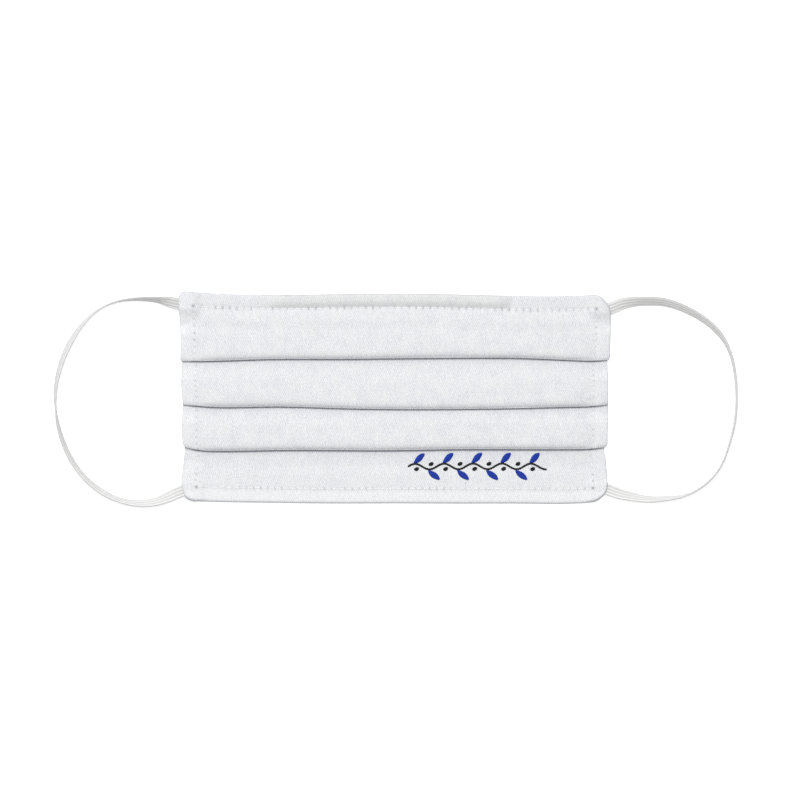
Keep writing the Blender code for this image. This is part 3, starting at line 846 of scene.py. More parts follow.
# %% [markdown]
# ## An embroidered sprig
#
# The lowest band carries a small embroidery in blue and black thread: a plain border of leaves
# on a waving stem, as found in any book of stitches. Leaves are worked in satin stitch, which
# is threads laid side by side across the shape, each as long as the leaf is wide there. The
# stem is stem stitch, short threads that overlap by half, and the berries are rounds of satin
# stitch.

# %% Where the embroidery goes
SPRIG_START = np.array((5.6, -28.1)) * MM
WAVE_LENGTH = 12.4 * MM
WAVE_HEIGHT = 1.3 * MM
HALF_WAVES = 9


def on_lowest_band(points):
    """Map places of points (x, y) on the lowest band: u is x, v is read off the middle column"""
    rows = np.flatnonzero((row_band == 3) & (row_kind == "band"))
    v = np.interp(-points[:, 1], -middle_y[rows, centre], row_v[rows])
    return np.column_stack((points[:, 0], v))


def stem(along):
    """Points of the stem at distances along it: a sine wave from SPRIG_START"""
    height = WAVE_HEIGHT * np.sin(2 * np.pi * along / WAVE_LENGTH)
    return SPRIG_START + np.column_stack((along, height))


# %% Stem stitch
STEM_RADIUS, STEM_LIFT = 0.42 * MM, 0.12 * MM
STEM_PITCH, STEM_STITCH = 0.9 * MM, 1.8 * MM
STEM_SLANT = 0.08 * MM
STEM_TAIL = 0.4

beats = np.arange(0, (HALF_WAVES + STEM_TAIL) * WAVE_LENGTH / 2, STEM_PITCH)
stem_from = on_lowest_band(stem(beats) - (0, STEM_SLANT))
stem_to = on_lowest_band(stem(beats + STEM_STITCH) + (0, STEM_SLANT))
stem_thread = stitches("sprig_stem", stem_from, stem_to, STEM_RADIUS, STEM_LIFT)

# %% Satin stitch
SATIN_PITCH = 0.27 * MM
SATIN_LEAN = 0.35
SILK_RADIUS, SILK_LIFT = 0.17 * MM, 0.24 * MM


def satin(base, heading, length, width, taper):
    """Threads across a shape: its half width at the share s is width / 2 * sin(pi * s)^taper"""
    shares = (np.arange(int(length / SATIN_PITCH)) + 0.5) * SATIN_PITCH / length
    half_width = width / 2 * np.sin(np.pi * shares) ** taper
    axis = np.array((np.cos(heading), np.sin(heading)))
    across_leaf = np.array((-axis[1], axis[0])) + SATIN_LEAN * axis
    spine = base + shares[:, None] * length * axis
    return spine - half_width[:, None] * across_leaf, spine + half_width[:, None] * across_leaf


def satin_shapes(name, shapes):
    """One mesh of satin stitches for several shapes, laid on the lowest band"""
    starts, ends = [on_lowest_band(np.concatenate([shape[end] for shape in shapes])) for end in (0, 1)]
    return stitches(name, starts, ends, SILK_RADIUS, SILK_LIFT)


# %% Leaves and berries
LEAF_LENGTH, LEAF_WIDTH, LEAF_TAPER = 6.2 * MM, 2.9 * MM, 0.75
LEAF_TURN = np.radians(38)
LEAF_OFF = 0.35 * MM
FIRST_LEAF = 0.42
BERRY, BERRY_TAPER = 2.0 * MM, 0.5
BERRY_ALONG, BERRY_OFF = 0.2 * MM, 2.3 * MM

side_of_stem = np.where(np.arange(HALF_WAVES) % 2 == 0, 1, -1)
leaf_bases = stem((np.arange(HALF_WAVES) + FIRST_LEAF) * WAVE_LENGTH / 2)
leaves = [satin(base + (0, LEAF_OFF * way), LEAF_TURN * way, LEAF_LENGTH, LEAF_WIDTH, LEAF_TAPER)
          for base, way in zip(leaf_bases, side_of_stem)]
berries = [satin(base + (BERRY_ALONG, -BERRY_OFF * way), 0.0, BERRY, BERRY, BERRY_TAPER)
           for base, way in zip(leaf_bases, side_of_stem)]
leaf_thread = satin_shapes("sprig_leaves", leaves)
berry_thread = satin_shapes("sprig_berries", berries)

# %% [markdown]
# ## The elastics
#
# Each ear loop is a flat elastic, about five millimetres wide and one thick, knitted in four
# lengthwise ribs. It leaves a top corner flat, turns onto its edge as it swings out, and comes
# back flat into the bottom corner. Its route and its tilt are those of the CAD model. The
# cross-section is a rounded bar whose faces are ribbed, carried along the route.

# %% Routes of the elastics
ELASTIC_WIDTH = 5.3 * MM
LOOP_REACH = 52.7 * MM
SEWN_IN = 6.0 * MM
SEWN_SLOPE = 0.15
EXIT_TOP = {-1: (-90.50 * MM, 40.10 * MM), 1: (90.50 * MM, 38.55 * MM)}
EXIT_TILT = {-1: (16, 10), 1: (12, 8)}
EXIT_BOTTOM = {-1: (-89.70 * MM, -38.05 * MM), 1: (88.60 * MM, -37.25 * MM)}

# Out in shares of LOOP_REACH, up in shares of half the distance between the two exits, and
# the tilt of the width in degrees, 90 being on its lower edge
LEFT_ROUTE = np.array((
    (0.080, 1.025, 24), (0.159, 1.047, 60), (0.319, 1.060, 76), (0.478, 1.040, 86),
    (0.653, 0.942, 94), (0.765, 0.808, 104), (0.879, 0.582, 114), (0.964, 0.292, 111),
    (0.995, 0.003, 99), (0.973, -0.287, 77), (0.912, -0.543, 69), (0.797, -0.802, 68),
    (0.648, -0.988, 64), (0.474, -1.105, 67), (0.313, -1.138, 58), (0.155, -1.101, 43),
    (0.076, -1.054, 24),
))
RIGHT_ROUTE = np.array((
    (0.076, 1.042, 16), (0.171, 1.070, 40), (0.315, 1.079, 46), (0.400, 1.072, 48),
    (0.594, 0.989, 54), (0.766, 0.848, 61), (0.864, 0.718, 66), (0.947, 0.517, 79),
    (0.990, 0.250, 82), (1.000, -0.015, 87), (0.983, -0.281, 83), (0.934, -0.546, 87),
    (0.877, -0.745, 88), (0.809, -0.877, 88), (0.687, -1.014, 89), (0.562, -1.085, 79),
    (0.434, -1.109, 68), (0.315, -1.117, 62), (0.155, -1.084, 45), (0.060, -1.050, 29),
))


def route_knots(side, route):
    """Plan points and tilts of a whole elastic, from its sewn top end to its sewn bottom end"""
    top, bottom = np.array(EXIT_TOP[side]), np.array(EXIT_BOTTOM[side])
    x = side * (HALF_WIDTH + route[:, 0] * LOOP_REACH)
    y = (top[1] + bottom[1]) / 2 + route[:, 1] * (top[1] - bottom[1]) / 2
    inwards = SEWN_IN * np.array((-side, -SEWN_SLOPE))
    free = np.column_stack((x, y))
    knots = np.vstack((top + inwards, top, free, bottom, bottom + inwards * (1, -1)))
    first, last = EXIT_TILT[side]
    return knots, np.radians(np.concatenate(((0, first), route[:, 2], (last, 0))))


# %% Cross-section of the elastic
RIBS = 4
RIB_DEPTH = 0.17
RING_POINTS = 56


def elastic_profile():
    """Cross-section and shade: width cos(t), thickness |sin(t)|^0.5, less RIB_DEPTH in the grooves

    The painted shade is 1 in a groove, and rises again on the outer rim and half as much on the inner.
    """
    turn = np.linspace(0, 2 * np.pi, RING_POINTS, endpoint=False)
    across = np.cos(turn)
    groove = (0.5 + 0.5 * np.cos(RIBS * np.pi * across)) * (1 - ease(0.70, 0.88, np.abs(across)))
    up = np.sign(np.sin(turn)) * np.abs(np.sin(turn)) ** 0.5 * (1 - RIB_DEPTH * groove)
    # Painted shade on the outer rim, and half as much on the inner rim
    rim = np.maximum(ease(0.84, 0.93, across), 0.5 * ease(0.95, 0.985, -across))
    return across * ELASTIC_WIDTH / 2, up * ELASTIC_THICKNESS / 2, np.maximum(groove, rim)


# %% Rings of points into a closed bar
def close_bar(rings, middle):
    """Rings joined round, each end drawn together to a point on the middle line"""
    rings = np.concatenate((rings, rings[:, :1]), axis=1)
    first = np.broadcast_to(middle[:1, None], rings[:1].shape)
    last = np.broadcast_to(middle[-1:, None], rings[:1].shape)
    return np.concatenate((first, rings, last))


def weld_seams(piece):
    """Merge the doubled points where a ring closes and at its two ends, and turn faces outwards"""
    shape = bmesh.new()
    shape.from_mesh(piece.data)
    bmesh.ops.remove_doubles(shape, verts=shape.verts, dist=1e-7)
    bmesh.ops.recalc_face_normals(shape, faces=shape.faces)
    shape.to_mesh(piece.data)
    shape.free()
    piece.data.shade_smooth()


# %% Ribbed ribbon along a route
RING_SPACING = 0.6 * MM
TILT_BLEND = 4
POCKET_FLOOR = CLOTH + 0.05 * MM


def elastic(name, side, route):
    """The profile carried along the route, turned by the tilt, with its lower edge on the ground"""
    knots, tilts = route_knots(side, route)
    beats = np.append(0, np.cumsum(np.linalg.norm(np.diff(knots, axis=0), axis=1)))
    places = np.linspace(0, beats[-1], int(beats[-1] / RING_SPACING))
    x = smooth_curve(beats, knots[:, 0], places)
    y = smooth_curve(beats, knots[:, 1], places)
    blend = np.ones(2 * TILT_BLEND + 1) / (2 * TILT_BLEND + 1)
    tilt = np.pad(np.interp(places, beats, tilts), TILT_BLEND, mode="edge")
    tilt = np.convolve(tilt, blend, mode="valid")
    standing = ELASTIC_WIDTH / 2 * np.abs(np.sin(tilt)) + ELASTIC_THICKNESS / 2 * np.abs(np.cos(tilt))
    z = np.maximum(standing, POCKET_FLOOR + ELASTIC_THICKNESS / 2)
    along = np.column_stack((np.gradient(x), np.gradient(y)))
    along /= np.linalg.norm(along, axis=1, keepdims=True)
    level = side * np.column_stack((-along[:, 1], along[:, 0], 0 * x))
    upright = np.array((0.0, 0.0, 1.0))
    width_way = np.cos(tilt)[:, None] * level + np.sin(tilt)[:, None] * upright
    face_way = -np.sin(tilt)[:, None] * level + np.cos(tilt)[:, None] * upright
    across, up, groove = elastic_profile()
    middle = np.column_stack((x, y, z))
    rings = middle[:, None] + across[:, None] * width_way[:, None] + up[:, None] * face_way[:, None]
    rings = close_bar(rings, middle)
    run = np.concatenate((places[:1], places, places[-1:]))
    share = np.arange(RING_POINTS + 1) / RING_POINTS
    uv = np.stack(np.broadcast_arrays(share[None, :], run[:, None]), axis=-1).reshape(-1, 2)
    piece = make_mesh(name, rings, grid_faces(*rings.shape[:2], closed=False), uv)
    add_mask(piece, "groove", np.broadcast_to(np.append(groove, groove[0]), rings.shape[:2]))
    weld_seams(piece)
    print(name, "length in all, mm:", round(beats[-1] / MM, 1))
    return piece


elastic_left = elastic("elastic_left", -1, LEFT_ROUTE)
elastic_right = elastic("elastic_right", 1, RIGHT_ROUTE)

# %% [markdown]
# ## The nose strip
#
# The strip itself never shows, only the ridge it makes. It is still made, as a bar with
# rounded edges, because a mask that is opened or seen from its side has it there.


# %% Strip in the top hem
STRIP_POINTS = 24
STRIP_RINGS = 80
STRIP_SLACK = 0.05 * MM
TUNNEL_GAP = 0.25 * MM


def rounded(wave):
    """Sign and square root of a wave: two of them, a quarter turn apart, draw |x|^4 + |y|^4 = 1"""
    return np.sign(wave) * np.sqrt(np.abs(wave))


def nose_strip(name):
    """Rounded bar: a superellipse |x|^4 + |y|^4 = 1 carried along under the top edge"""
    turn = np.linspace(0, 2 * np.pi, STRIP_POINTS, endpoint=False)
    wide = rounded(np.cos(turn)) * STRIP_WIDTH / 2
    high = rounded(np.sin(turn)) * (STRIP_THICKNESS / 2 - STRIP_SLACK)
    x = np.linspace(-STRIP_LENGTH / 2, STRIP_LENGTH / 2, STRIP_RINGS) + STRIP_OFFSET
    y = line(0, x / HALF_WIDTH) - CLOTH - TUNNEL_GAP - STRIP_WIDTH / 2
    z = LAYER + STRIP_THICKNESS / 2
    rings = np.stack(np.broadcast_arrays(x[:, None], y[:, None] + wide, z + high), axis=-1)
    rings = close_bar(rings, np.column_stack((x, y, np.full_like(x, z))))
    piece = make_mesh(name, rings, grid_faces(*rings.shape[:2], closed=False))
    weld_seams(piece)
    return piece


strip = nose_strip("nose_strip")
print("nose strip:", len(strip.data.polygons), "faces")

# %% [markdown]
# ## Materials
#
# White things are told apart by their surfaces, not their colours. The cloth is matt, faintly
# blue, and ribbed by its twill. Patterns that several materials use are node groups, built
# once with named sockets.


# %% Small helpers for nodes
def new_group(name, inputs, outputs):
    """Empty shader group with named sockets: inputs are (name, type, default), outputs (name, type)"""
    group = bpy.data.node_groups.new(name, "ShaderNodeTree")
    for label, kind, default in inputs:
        socket = group.interface.new_socket(label, in_out="INPUT", socket_type=kind)
        if default is not None:
            socket.default_value = default
    for label, kind in outputs:
        group.interface.new_socket(label, in_out="OUTPUT", socket_type=kind)
    return group, group.nodes.new("NodeGroupInput"), group.nodes.new("NodeGroupOutput")


def math(tree, operation, *values, clamp=False):
    """Math node fed by sockets or plain numbers, and its output"""
    node = tree.nodes.new("ShaderNodeMath")
    node.operation = operation
    node.use_clamp = clamp
    for socket, value in zip(node.inputs, values):
        if isinstance(value, (int, float)):
            socket.default_value = value
        else:
            tree.links.new(value, socket)
    return node.outputs[0]


def noise(tree, vector, scale, detail):
    """Noise texture of a scale and a detail, and its value"""
    node = tree.nodes.new("ShaderNodeTexNoise")
    node.inputs["Scale"].default_value = scale
    node.inputs["Detail"].default_value = detail
    tree.links.new(vector, node.inputs["Vector"])
    return node.outputs["Fac"]


# %% [markdown]
# In twill each upright yarn floats over three cross yarns and dips under the fourth, and its
# neighbour does so one yarn further on. That makes steep slanting ribs. The group repeats
# this: the map is cut into columns, one to a yarn, each column is cut into floats that are
# shifted from the last column's, and every float gets its own chance shade.

# %% Twill
WARP_PITCH = 0.22 * MM
WEFT_PITCH = 0.52 * MM
YARNS_IN_BEAT = 4.0
FLOAT_SHARE = 0.78
ARCH_POWER = 0.6
# How far the columns wander, in yarns, and over what scale
WANDER, WANDER_SCALE = 5.0, 180.0
FUZZ_SCALE = 1300.0
FUZZ_RELIEF = 1.2
# Depth of the shade between floats, of each float's chance, and of the fuzz
SHADE_TOP, ARCH_SHADE, CHANCE_SHADE, FUZZ_SHADE = 0.87, 0.70, 0.44, 1.9

twill, twill_in, twill_out = new_group(
    "twill_weave",
    [("Map", "NodeSocketVector", None)],
    [("Height", "NodeSocketFloat"), ("Shade", "NodeSocketFloat")],
)
flat_map = twill_in.outputs["Map"]
split = twill.nodes.new("ShaderNodeSeparateXYZ")
twill.links.new(flat_map, split.inputs[0])
wander = noise(twill, flat_map, WANDER_SCALE, 2.0)
wander = math(twill, "MULTIPLY", math(twill, "SUBTRACT", wander, 0.5), WANDER)
warp = math(twill, "ADD", math(twill, "DIVIDE", split.outputs["X"], WARP_PITCH), wander)
column = math(twill, "FLOOR", warp)
inside = math(twill, "SUBTRACT", warp, column)
weft = math(twill, "SUBTRACT", math(twill, "DIVIDE", split.outputs["Y"], WEFT_PITCH), column)
beat = math(twill, "DIVIDE", weft, YARNS_IN_BEAT)
number = math(twill, "FLOOR", beat)
share = math(twill, "DIVIDE", math(twill, "SUBTRACT", beat, number), FLOAT_SHARE)
arch = math(twill, "SINE", math(twill, "MULTIPLY", math(twill, "MINIMUM", share, 1.0), float(np.pi)))
arch = math(twill, "POWER", math(twill, "MAXIMUM", arch, 0.0), ARCH_POWER)
round_yarn = math(twill, "MULTIPLY", inside, math(twill, "SUBTRACT", 1.0, inside))
round_yarn = math(twill, "MULTIPLY", round_yarn, 4.0)
round_yarn = math(twill, "MULTIPLY_ADD", round_yarn, 0.5, 0.5)
height = math(twill, "MULTIPLY", arch, round_yarn)

# %% Chance and fuzz of the yarns
cell = twill.nodes.new("ShaderNodeCombineXYZ")
twill.links.new(column, cell.inputs["X"])
twill.links.new(number, cell.inputs["Y"])
chance = twill.nodes.new("ShaderNodeTexWhiteNoise")
chance.noise_dimensions = "2D"
twill.links.new(cell.outputs[0], chance.inputs["Vector"])
fuzz = math(twill, "SUBTRACT", noise(twill, flat_map, FUZZ_SCALE, 2.0), 0.5)
twill.links.new(math(twill, "MULTIPLY_ADD", fuzz, FUZZ_RELIEF, height), twill_out.inputs["Height"])
shade = math(twill, "MULTIPLY", math(twill, "SUBTRACT", SHADE_TOP, arch), ARCH_SHADE)
shade = math(twill, "MULTIPLY_ADD", chance.outputs["Value"], CHANCE_SHADE, shade)
shade = math(twill, "MULTIPLY_ADD", fuzz, FUZZ_SHADE, shade, clamp=True)
twill.links.new(shade, twill_out.inputs["Shade"])
print("twill group:", len(twill.nodes), "nodes")

# %% [markdown]
# A needle leaves a hole at each end of a stitch, and the tight thread folds the cloth beside it. The
# group below makes that mark over and over: a soft spot, of one size along the seam and another across
# it, repeated on the beat of the stitches. The cotton dents its relief by the mark and darkens its
# colour by it, as painted shadow in the holes.

# %% Needle holes
needle, needle_in, needle_out = new_group(
    "needle_holes",
    [
        ("Along", "NodeSocketFloat", 0.0),
        ("Off", "NodeSocketFloat", 0.0),
        ("Pitch", "NodeSocketFloat", 3.0 * MM),
        ("Half Along", "NodeSocketFloat", 0.3 * MM),
        ("Half Across", "NodeSocketFloat", 0.3 * MM),
    ],
    [("Mark", "NodeSocketFloat")],
)
beat = math(needle, "DIVIDE", needle_in.outputs["Along"], needle_in.outputs["Pitch"])
nearest = math(needle, "ROUND", beat)
gap = math(needle, "MULTIPLY", math(needle, "SUBTRACT", beat, nearest), needle_in.outputs["Pitch"])
gap = math(needle, "DIVIDE", gap, needle_in.outputs["Half Along"])
off = math(needle, "DIVIDE", needle_in.outputs["Off"], needle_in.outputs["Half Across"])
squares = math(needle, "ADD", math(needle, "MULTIPLY", gap, gap), math(needle, "MULTIPLY", off, off))
mark = math(needle, "EXPONENT", math(needle, "MULTIPLY", squares, -1.0))
needle.links.new(mark, needle_out.inputs["Mark"])
print("needle group:", len(needle.nodes), "nodes")


# %% Helpers that fill a material
def feed(tree, socket, value):
    """Set a socket to a number or a colour, or link it to another socket"""
    if isinstance(value, tuple):
        socket.default_value = (*value, 1.0)
    elif isinstance(value, (int, float)):
        socket.default_value = value
    else:
        tree.links.new(value, socket)


def place_group(tree, group, **sockets):
    """Group node with inputs set by name, where a low line stands for a space"""
    node = tree.nodes.new("ShaderNodeGroup")
    node.node_tree = group
    for label, value in sockets.items():
        feed(tree, node.inputs[label.replace("_", " ")], value)
    return node


def new_material(name, roughness, **plain):
    """Material with its Principled shader; plain holds values that are the same all over"""
    material = bpy.data.materials.new(name)
    material.use_nodes = True
    shader = material.node_tree.nodes["Principled BSDF"]
    shader.inputs["Roughness"].default_value = roughness
    for label, value in plain.items():
        shader.inputs[label.replace("_", " ")].default_value = value
    return material, material.node_tree, shader


# %% Colours, relief and places in a material
def mix_colour(tree, share, first, second):
    """Colour from first to second by a share"""
    node = tree.nodes.new("ShaderNodeMix")
    node.data_type = "RGBA"
    for label, value in (("Factor", share), ("A", first), ("B", second)):
        feed(tree, node.inputs[label], value)
    return node.outputs["Result"]


def bump(tree, shader, height, distance):
    """Relief of a height, distance deep at a value of 1"""
    node = tree.nodes.new("ShaderNodeBump")
    node.inputs["Distance"].default_value = distance
    node.inputs["Strength"].default_value = 1.0
    tree.links.new(height, node.inputs["Height"])
    tree.links.new(node.outputs["Normal"], shader.inputs["Normal"])


def mask_value(tree, name):
    """The number that a mesh holds under a name"""
    node = tree.nodes.new("ShaderNodeAttribute")
    node.attribute_name = name
    return node.outputs["Fac"]


def own_map(tree):
    """Places on the piece's own map, and their two parts"""
    node = tree.nodes.new("ShaderNodeUVMap")
    node.uv_map = "cloth_map"
    parts = tree.nodes.new("ShaderNodeSeparateXYZ")
    tree.links.new(node.outputs["UV"], parts.inputs[0])
    return node.outputs["UV"], parts.outputs["X"], parts.outputs["Y"]


# %% [markdown]
# The cotton's holes come first. Each seam has its own beat and its own size of hole. A slow noise makes
# some stitches pull harder than others, as they do along any real seam, and the hole in each corner,
# where the needle turned, is the largest. Each hole is a dent in the relief and a painted shadow in the
# colour.

# %% Marks of the needle on the cloth
TOP_HOLE = {"Half_Along": 0.50 * MM, "Half_Across": 0.85 * MM}
LOW_HOLE = {"Half_Along": 0.42 * MM, "Half_Across": 0.70 * MM}
SIDE_HOLE = {"Half_Along": 0.54 * MM, "Half_Across": 0.44 * MM}
CORNER_HOLE = {"Half_Along": 0.62 * MM, "Half_Across": 0.58 * MM}
LOW_STRENGTH = 0.8
HOLE_STRENGTH = 0.72
# Scale of the noise that pulls, the value at which it starts, and how fast it grows
PULL_SCALE, PULL_START, PULL_GROWTH = 120.0, 0.28, 2.6

cotton, tree, shader = new_material("white_cotton_twill", 0.92, Sheen_Weight=0.15,
                                    Specular_IOR_Level=0.25)
cloth_map, u, v = own_map(tree)
weave = place_group(tree, twill, Map=cloth_map)
top_holes = place_group(tree, needle, Along=u, Off=math(tree, "SUBTRACT", v, float(v_top)),
                        Pitch=STITCH_PITCH, **TOP_HOLE)
low_holes = place_group(tree, needle, Along=u, Off=math(tree, "SUBTRACT", v, float(v_bottom)),
                        Pitch=STITCH_PITCH, **LOW_HOLE)
from_side = math(tree, "SUBTRACT", math(tree, "ABSOLUTE", u), float(side_u))
side_holes = place_group(tree, needle, Along=v, Off=from_side, Pitch=SIDE_PITCH, **SIDE_HOLE)
low_marks = math(tree, "MULTIPLY", low_holes.outputs["Mark"], LOW_STRENGTH)
long_holes = math(tree, "MAXIMUM", top_holes.outputs["Mark"], low_marks)
long_holes = math(tree, "MULTIPLY", long_holes, math(tree, "LESS_THAN", from_side, 0.3 * MM))
between = math(tree, "MULTIPLY", math(tree, "GREATER_THAN", v, float(v_top - 0.5 * MM)),
               math(tree, "LESS_THAN", v, float(v_bottom + 0.5 * MM)))
short_holes = math(tree, "MULTIPLY", side_holes.outputs["Mark"], between)
hole_marks = math(tree, "MAXIMUM", long_holes, short_holes)
pull = noise(tree, cloth_map, PULL_SCALE, 1.0)
pull = math(tree, "MULTIPLY", math(tree, "SUBTRACT", pull, PULL_START), PULL_GROWTH, clamp=True)
hole_marks = math(tree, "MULTIPLY", math(tree, "MULTIPLY", hole_marks, pull), HOLE_STRENGTH)
corner_holes = [
    place_group(tree, needle, Along=from_side, Off=math(tree, "SUBTRACT", v, float(seam)),
                Pitch=1.0, **CORNER_HOLE).outputs["Mark"]
    for seam in (v_top, v_bottom)
]
hole_marks = math(tree, "MAXIMUM", hole_marks, math(tree, "MAXIMUM", *corner_holes))

# %% Colour and relief of the cotton
COTTON = (0.913, 0.926, 0.972)
COTTON_DEEP = (0.565, 0.583, 0.622)
COTTON_HEM = (0.970, 0.984, 0.996)
COTTON_WARM = (0.880, 0.890, 0.865)
COTTON_CREAM = (0.850, 0.850, 0.825)
# Grey of the painted shade under folds and edges
PAINTED_SHADE_GREY = (0.29, 0.30, 0.36)
# Grey of the painted shadow in the needle holes
HOLE_SHADOW_GREY = (0.26, 0.27, 0.29)
PATCH_SCALE, TINT_SCALE = 125.0, 170.0
# Strength of the weave, the patches and the warm tints on the bands, and what a hem adds to it
WOVEN, WOVEN_HEM = 0.97, -0.46
PATCHY, PATCHY_HEM = 0.42, -0.30
WARMTH, WARMTH_HEM = 0.62, -0.40
HOLE_SHADE, PAINTED_SHADE_STRENGTH = 0.80, 0.75
HOLE_RELIEF = 2.0
COTTON_RELIEF = 0.068 * MM

patches = noise(tree, cloth_map, PATCH_SCALE, 2.0)
tints = noise(tree, cloth_map, TINT_SCALE, 1.0)
in_hem = mask_value(tree, "hem")
base = mix_colour(tree, in_hem, COTTON, COTTON_HEM)
base = mix_colour(tree, mask_value(tree, "cream"), base, COTTON_CREAM)
woven = math(tree, "MULTIPLY_ADD", in_hem, WOVEN_HEM, WOVEN)
base = mix_colour(tree, math(tree, "MULTIPLY", weave.outputs["Shade"], woven), base, COTTON_DEEP)
patchy = math(tree, "MULTIPLY_ADD", in_hem, PATCHY_HEM, PATCHY)
base = mix_colour(tree, math(tree, "MULTIPLY", patches, patchy), base, COTTON_DEEP)
warmth = math(tree, "MULTIPLY_ADD", in_hem, WARMTH_HEM, WARMTH)
base = mix_colour(tree, math(tree, "MULTIPLY", tints, warmth), base, COTTON_WARM)
# Painted shadow in the needle holes
base = mix_colour(tree, math(tree, "MULTIPLY", hole_marks, HOLE_SHADE), base, HOLE_SHADOW_GREY)
# Painted shade under folds, inside pleats, under rolled edges and along the sides
painted_shade_share = math(tree, "MULTIPLY", mask_value(tree, "painted_shade"), PAINTED_SHADE_STRENGTH)
base = mix_colour(tree, painted_shade_share, base, PAINTED_SHADE_GREY)
tree.links.new(base, shader.inputs["Base Color"])
pricked = math(tree, "MULTIPLY", hole_marks, HOLE_RELIEF)
bump(tree, shader, math(tree, "SUBTRACT", weave.outputs["Height"], pricked), COTTON_RELIEF)
cloth.data.materials.append(cotton)
print("cotton:", len(tree.nodes), "nodes")

# %% [markdown]
# The elastic is knitted: down each rib runs a chain of small loops, which show as the rungs of a fine
# ladder. The grooves between the ribs and the rims are painted greyer, as painted shade.

# %% Knitted elastic
KNIT_WHITE = (0.87, 0.868, 0.862)
KNIT_DEEP = (0.77, 0.768, 0.762)
KNIT_DUST = (0.68, 0.68, 0.68)
# Grey of the painted shade in the grooves and on the rims
GROOVE_SHADE_GREY = (0.44, 0.44, 0.44)
LOOP_PITCH = 0.9 * MM
KNIT_RELIEF = 0.03 * MM

knit, tree, shader = new_material("white_knitted_elastic", 0.8, Specular_IOR_Level=0.3,
                                  Subsurface_Weight=0.6, Subsurface_Radius=(1, 1, 1),
                                  Subsurface_Scale=1.1 * MM)
knit_map, _, down = own_map(tree)
fine = noise(tree, knit_map, 900.0, 2.0)
rung = math(tree, "SINE", math(tree, "MULTIPLY", down, float(2 * np.pi / LOOP_PITCH)))
rung = math(tree, "MULTIPLY_ADD", rung, 0.5, 0.5)
base = mix_colour(tree, math(tree, "MULTIPLY", rung, 0.30), KNIT_WHITE, KNIT_DEEP)
base = mix_colour(tree, math(tree, "MULTIPLY", fine, 0.25), base, KNIT_DUST)
# Painted shade in the grooves and on the rims, from the groove mask
base = mix_colour(tree, math(tree, "MULTIPLY", mask_value(tree, "groove"), 0.55), base, GROOVE_SHADE_GREY)
tree.links.new(base, shader.inputs["Base Color"])
bump(tree, shader, rung, KNIT_RELIEF)
elastic_left.data.materials.append(knit)
elastic_right.data.materials.append(knit)
print("elastic:", len(tree.nodes), "nodes")

# %% [markdown]
# Thread, silk and the strip's coat are simpler. Each wanders between a light and a deep
# colour, by a noise on the piece's own coordinates: fine for twisted thread, coarse for the
# coat. On thread and silk the same noise is also a faint relief.


# %% Thread, silk and strip
def two_tone(name, roughness, light, deep, scale, detail, relief=None, **plain):
    """Material that wanders between two colours by a noise, with a relief if its depth is given"""
    material, tree, shader = new_material(name, roughness, **plain)
    place = tree.nodes.new("ShaderNodeTexCoord")
    grain = noise(tree, place.outputs["Object"], scale, detail)
    tree.links.new(mix_colour(tree, grain, light, deep), shader.inputs["Base Color"])
    if relief is not None:
        bump(tree, shader, grain, relief)
    return material


THREAD_WHITE, THREAD_DEEP = (0.93, 0.935, 0.94), (0.80, 0.81, 0.83)
BLUE, BLUE_DEEP = (0.010, 0.050, 0.43), (0.006, 0.028, 0.28)
BLACK, BLACK_DEEP = (0.012, 0.012, 0.014), (0.004, 0.004, 0.005)
COAT, COAT_DEEP = (0.80, 0.79, 0.74), (0.74, 0.73, 0.68)
THREAD_RELIEF, SILK_RELIEF = 0.03 * MM, 0.04 * MM

thread = two_tone("white_thread", 0.55, THREAD_WHITE, THREAD_DEEP, 4000.0, 1.0,
                  THREAD_RELIEF, Sheen_Weight=0.1)
blue_silk = two_tone("blue_silk", 0.5, BLUE, BLUE_DEEP, 3000.0, 2.0,
                     SILK_RELIEF, Specular_IOR_Level=0.25)
black_silk = two_tone("black_silk", 0.5, BLACK, BLACK_DEEP, 3000.0, 2.0,
                      SILK_RELIEF, Specular_IOR_Level=0.25)
coat = two_tone("coated_strip", 0.4, COAT, COAT_DEEP, 300.0, 2.0)
for piece, finish in ((seam_thread, thread), (under_thread, thread), (hem_thread, thread),
                      (leaf_thread, blue_silk), (stem_thread, black_silk),
                      (berry_thread, black_silk), (strip, coat)):
    piece.data.materials.append(finish)
    print(piece.name, "in", finish.name)

# %% [markdown]
# ## Floor and light
#
# The mask lies on a pale floor under one large, soft lamp, a little towards its top edge, so
# that the underside of every fold is in shade. The pale sky fills the shadows. A backdrop in
# a studio is lit on its own until it is pure white; here the floor and the sky glow, but only
# for the camera, so that the mask isn't lit by it.

# %% Floor
FLOOR_HALF = 1.5
FLOOR_DROP = 0.02 * MM
FLOOR_GLOW = 0.62

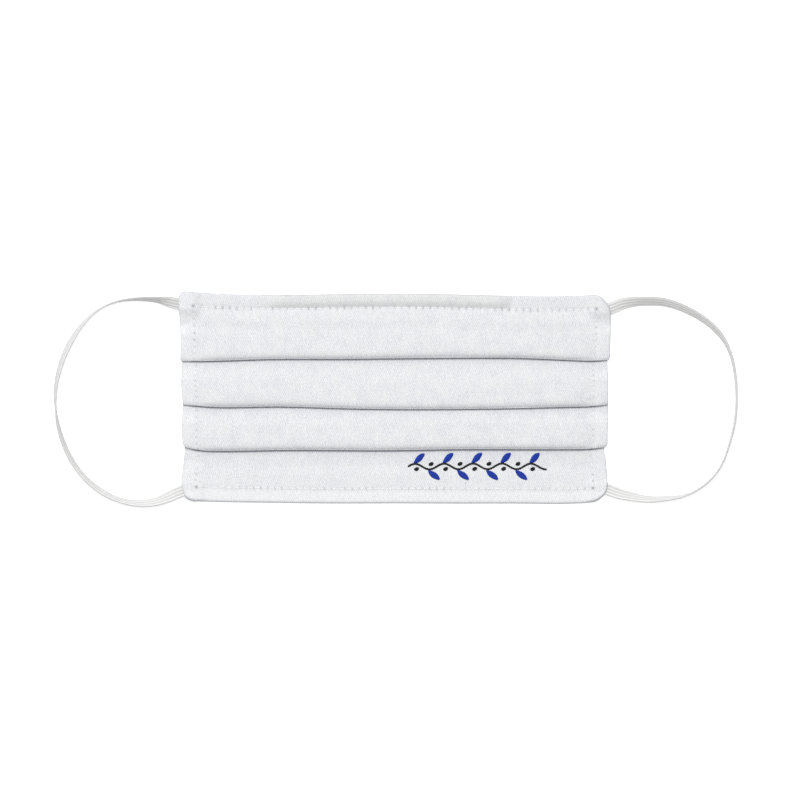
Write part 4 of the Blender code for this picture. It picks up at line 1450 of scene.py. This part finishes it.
corners = FLOOR_HALF * np.array(((-1, -1, 0), (1, -1, 0), (1, 1, 0), (-1, 1, 0)))
floor = make_mesh("floor", corners - (0, 0, FLOOR_DROP), np.array([(0, 1, 2, 3)]))
pale, tree, shader = new_material("pale_floor", 0.9, Specular_IOR_Level=0.1, Emission_Color=(1, 1, 1, 1))
shader.inputs["Base Color"].default_value = (0.90, 0.90, 0.90, 1)
rays = tree.nodes.new("ShaderNodeLightPath")
glow = math(tree, "MULTIPLY", rays.outputs["Is Camera Ray"], FLOOR_GLOW)
tree.links.new(glow, shader.inputs["Emission Strength"])
floor.data.materials.append(pale)
print("floor, m:", 2 * FLOOR_HALF)

# %% Lamp and sky
LAMP_PLACE = np.array((-0.50, 1.25, 2.70))
LAMP_SIZE = 1.3
LAMP_POWER = 70.0
SKY = 0.42

lamp_data = bpy.data.lights.new("softbox", "AREA")
lamp_data.size = LAMP_SIZE
lamp_data.energy = LAMP_POWER
lamp = bpy.data.objects.new("softbox", lamp_data)
lamp.location = LAMP_PLACE
lamp.rotation_euler = Vector(-LAMP_PLACE).to_track_quat("-Z", "Y").to_euler()
bpy.context.scene.collection.objects.link(lamp)

sky = bpy.data.worlds.new("sky")
sky.use_nodes = True
background = sky.node_tree.nodes["Background"]
rays = sky.node_tree.nodes.new("ShaderNodeLightPath")
strength = math(sky.node_tree, "MULTIPLY_ADD", rays.outputs["Is Camera Ray"], 1.0 - SKY, SKY)
background.inputs["Color"].default_value = (1, 1, 1, 1)
sky.node_tree.links.new(strength, background.inputs["Strength"])
bpy.context.scene.world = sky
bpy.context.scene.view_settings.view_transform = "Standard"
print("lamp, W:", LAMP_POWER, "sky:", SKY)

# %% [markdown]
# ## Tie everything to the frame
#
# The mask has no joints, so all pieces ride on its one body, and the CAD pieces that they stand for are
# hidden.

# %% Bodies, and the CAD pieces hidden
sewn_on = [seam_thread, under_thread, hem_thread, stem_thread, leaf_thread, berry_thread]
for piece in (cloth, *sewn_on, elastic_left, elastic_right, strip):
    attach(piece, "root")
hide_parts("pleated_panel")
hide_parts("ear_loop_left")
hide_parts("ear_loop_right")
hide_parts("nose_wire")
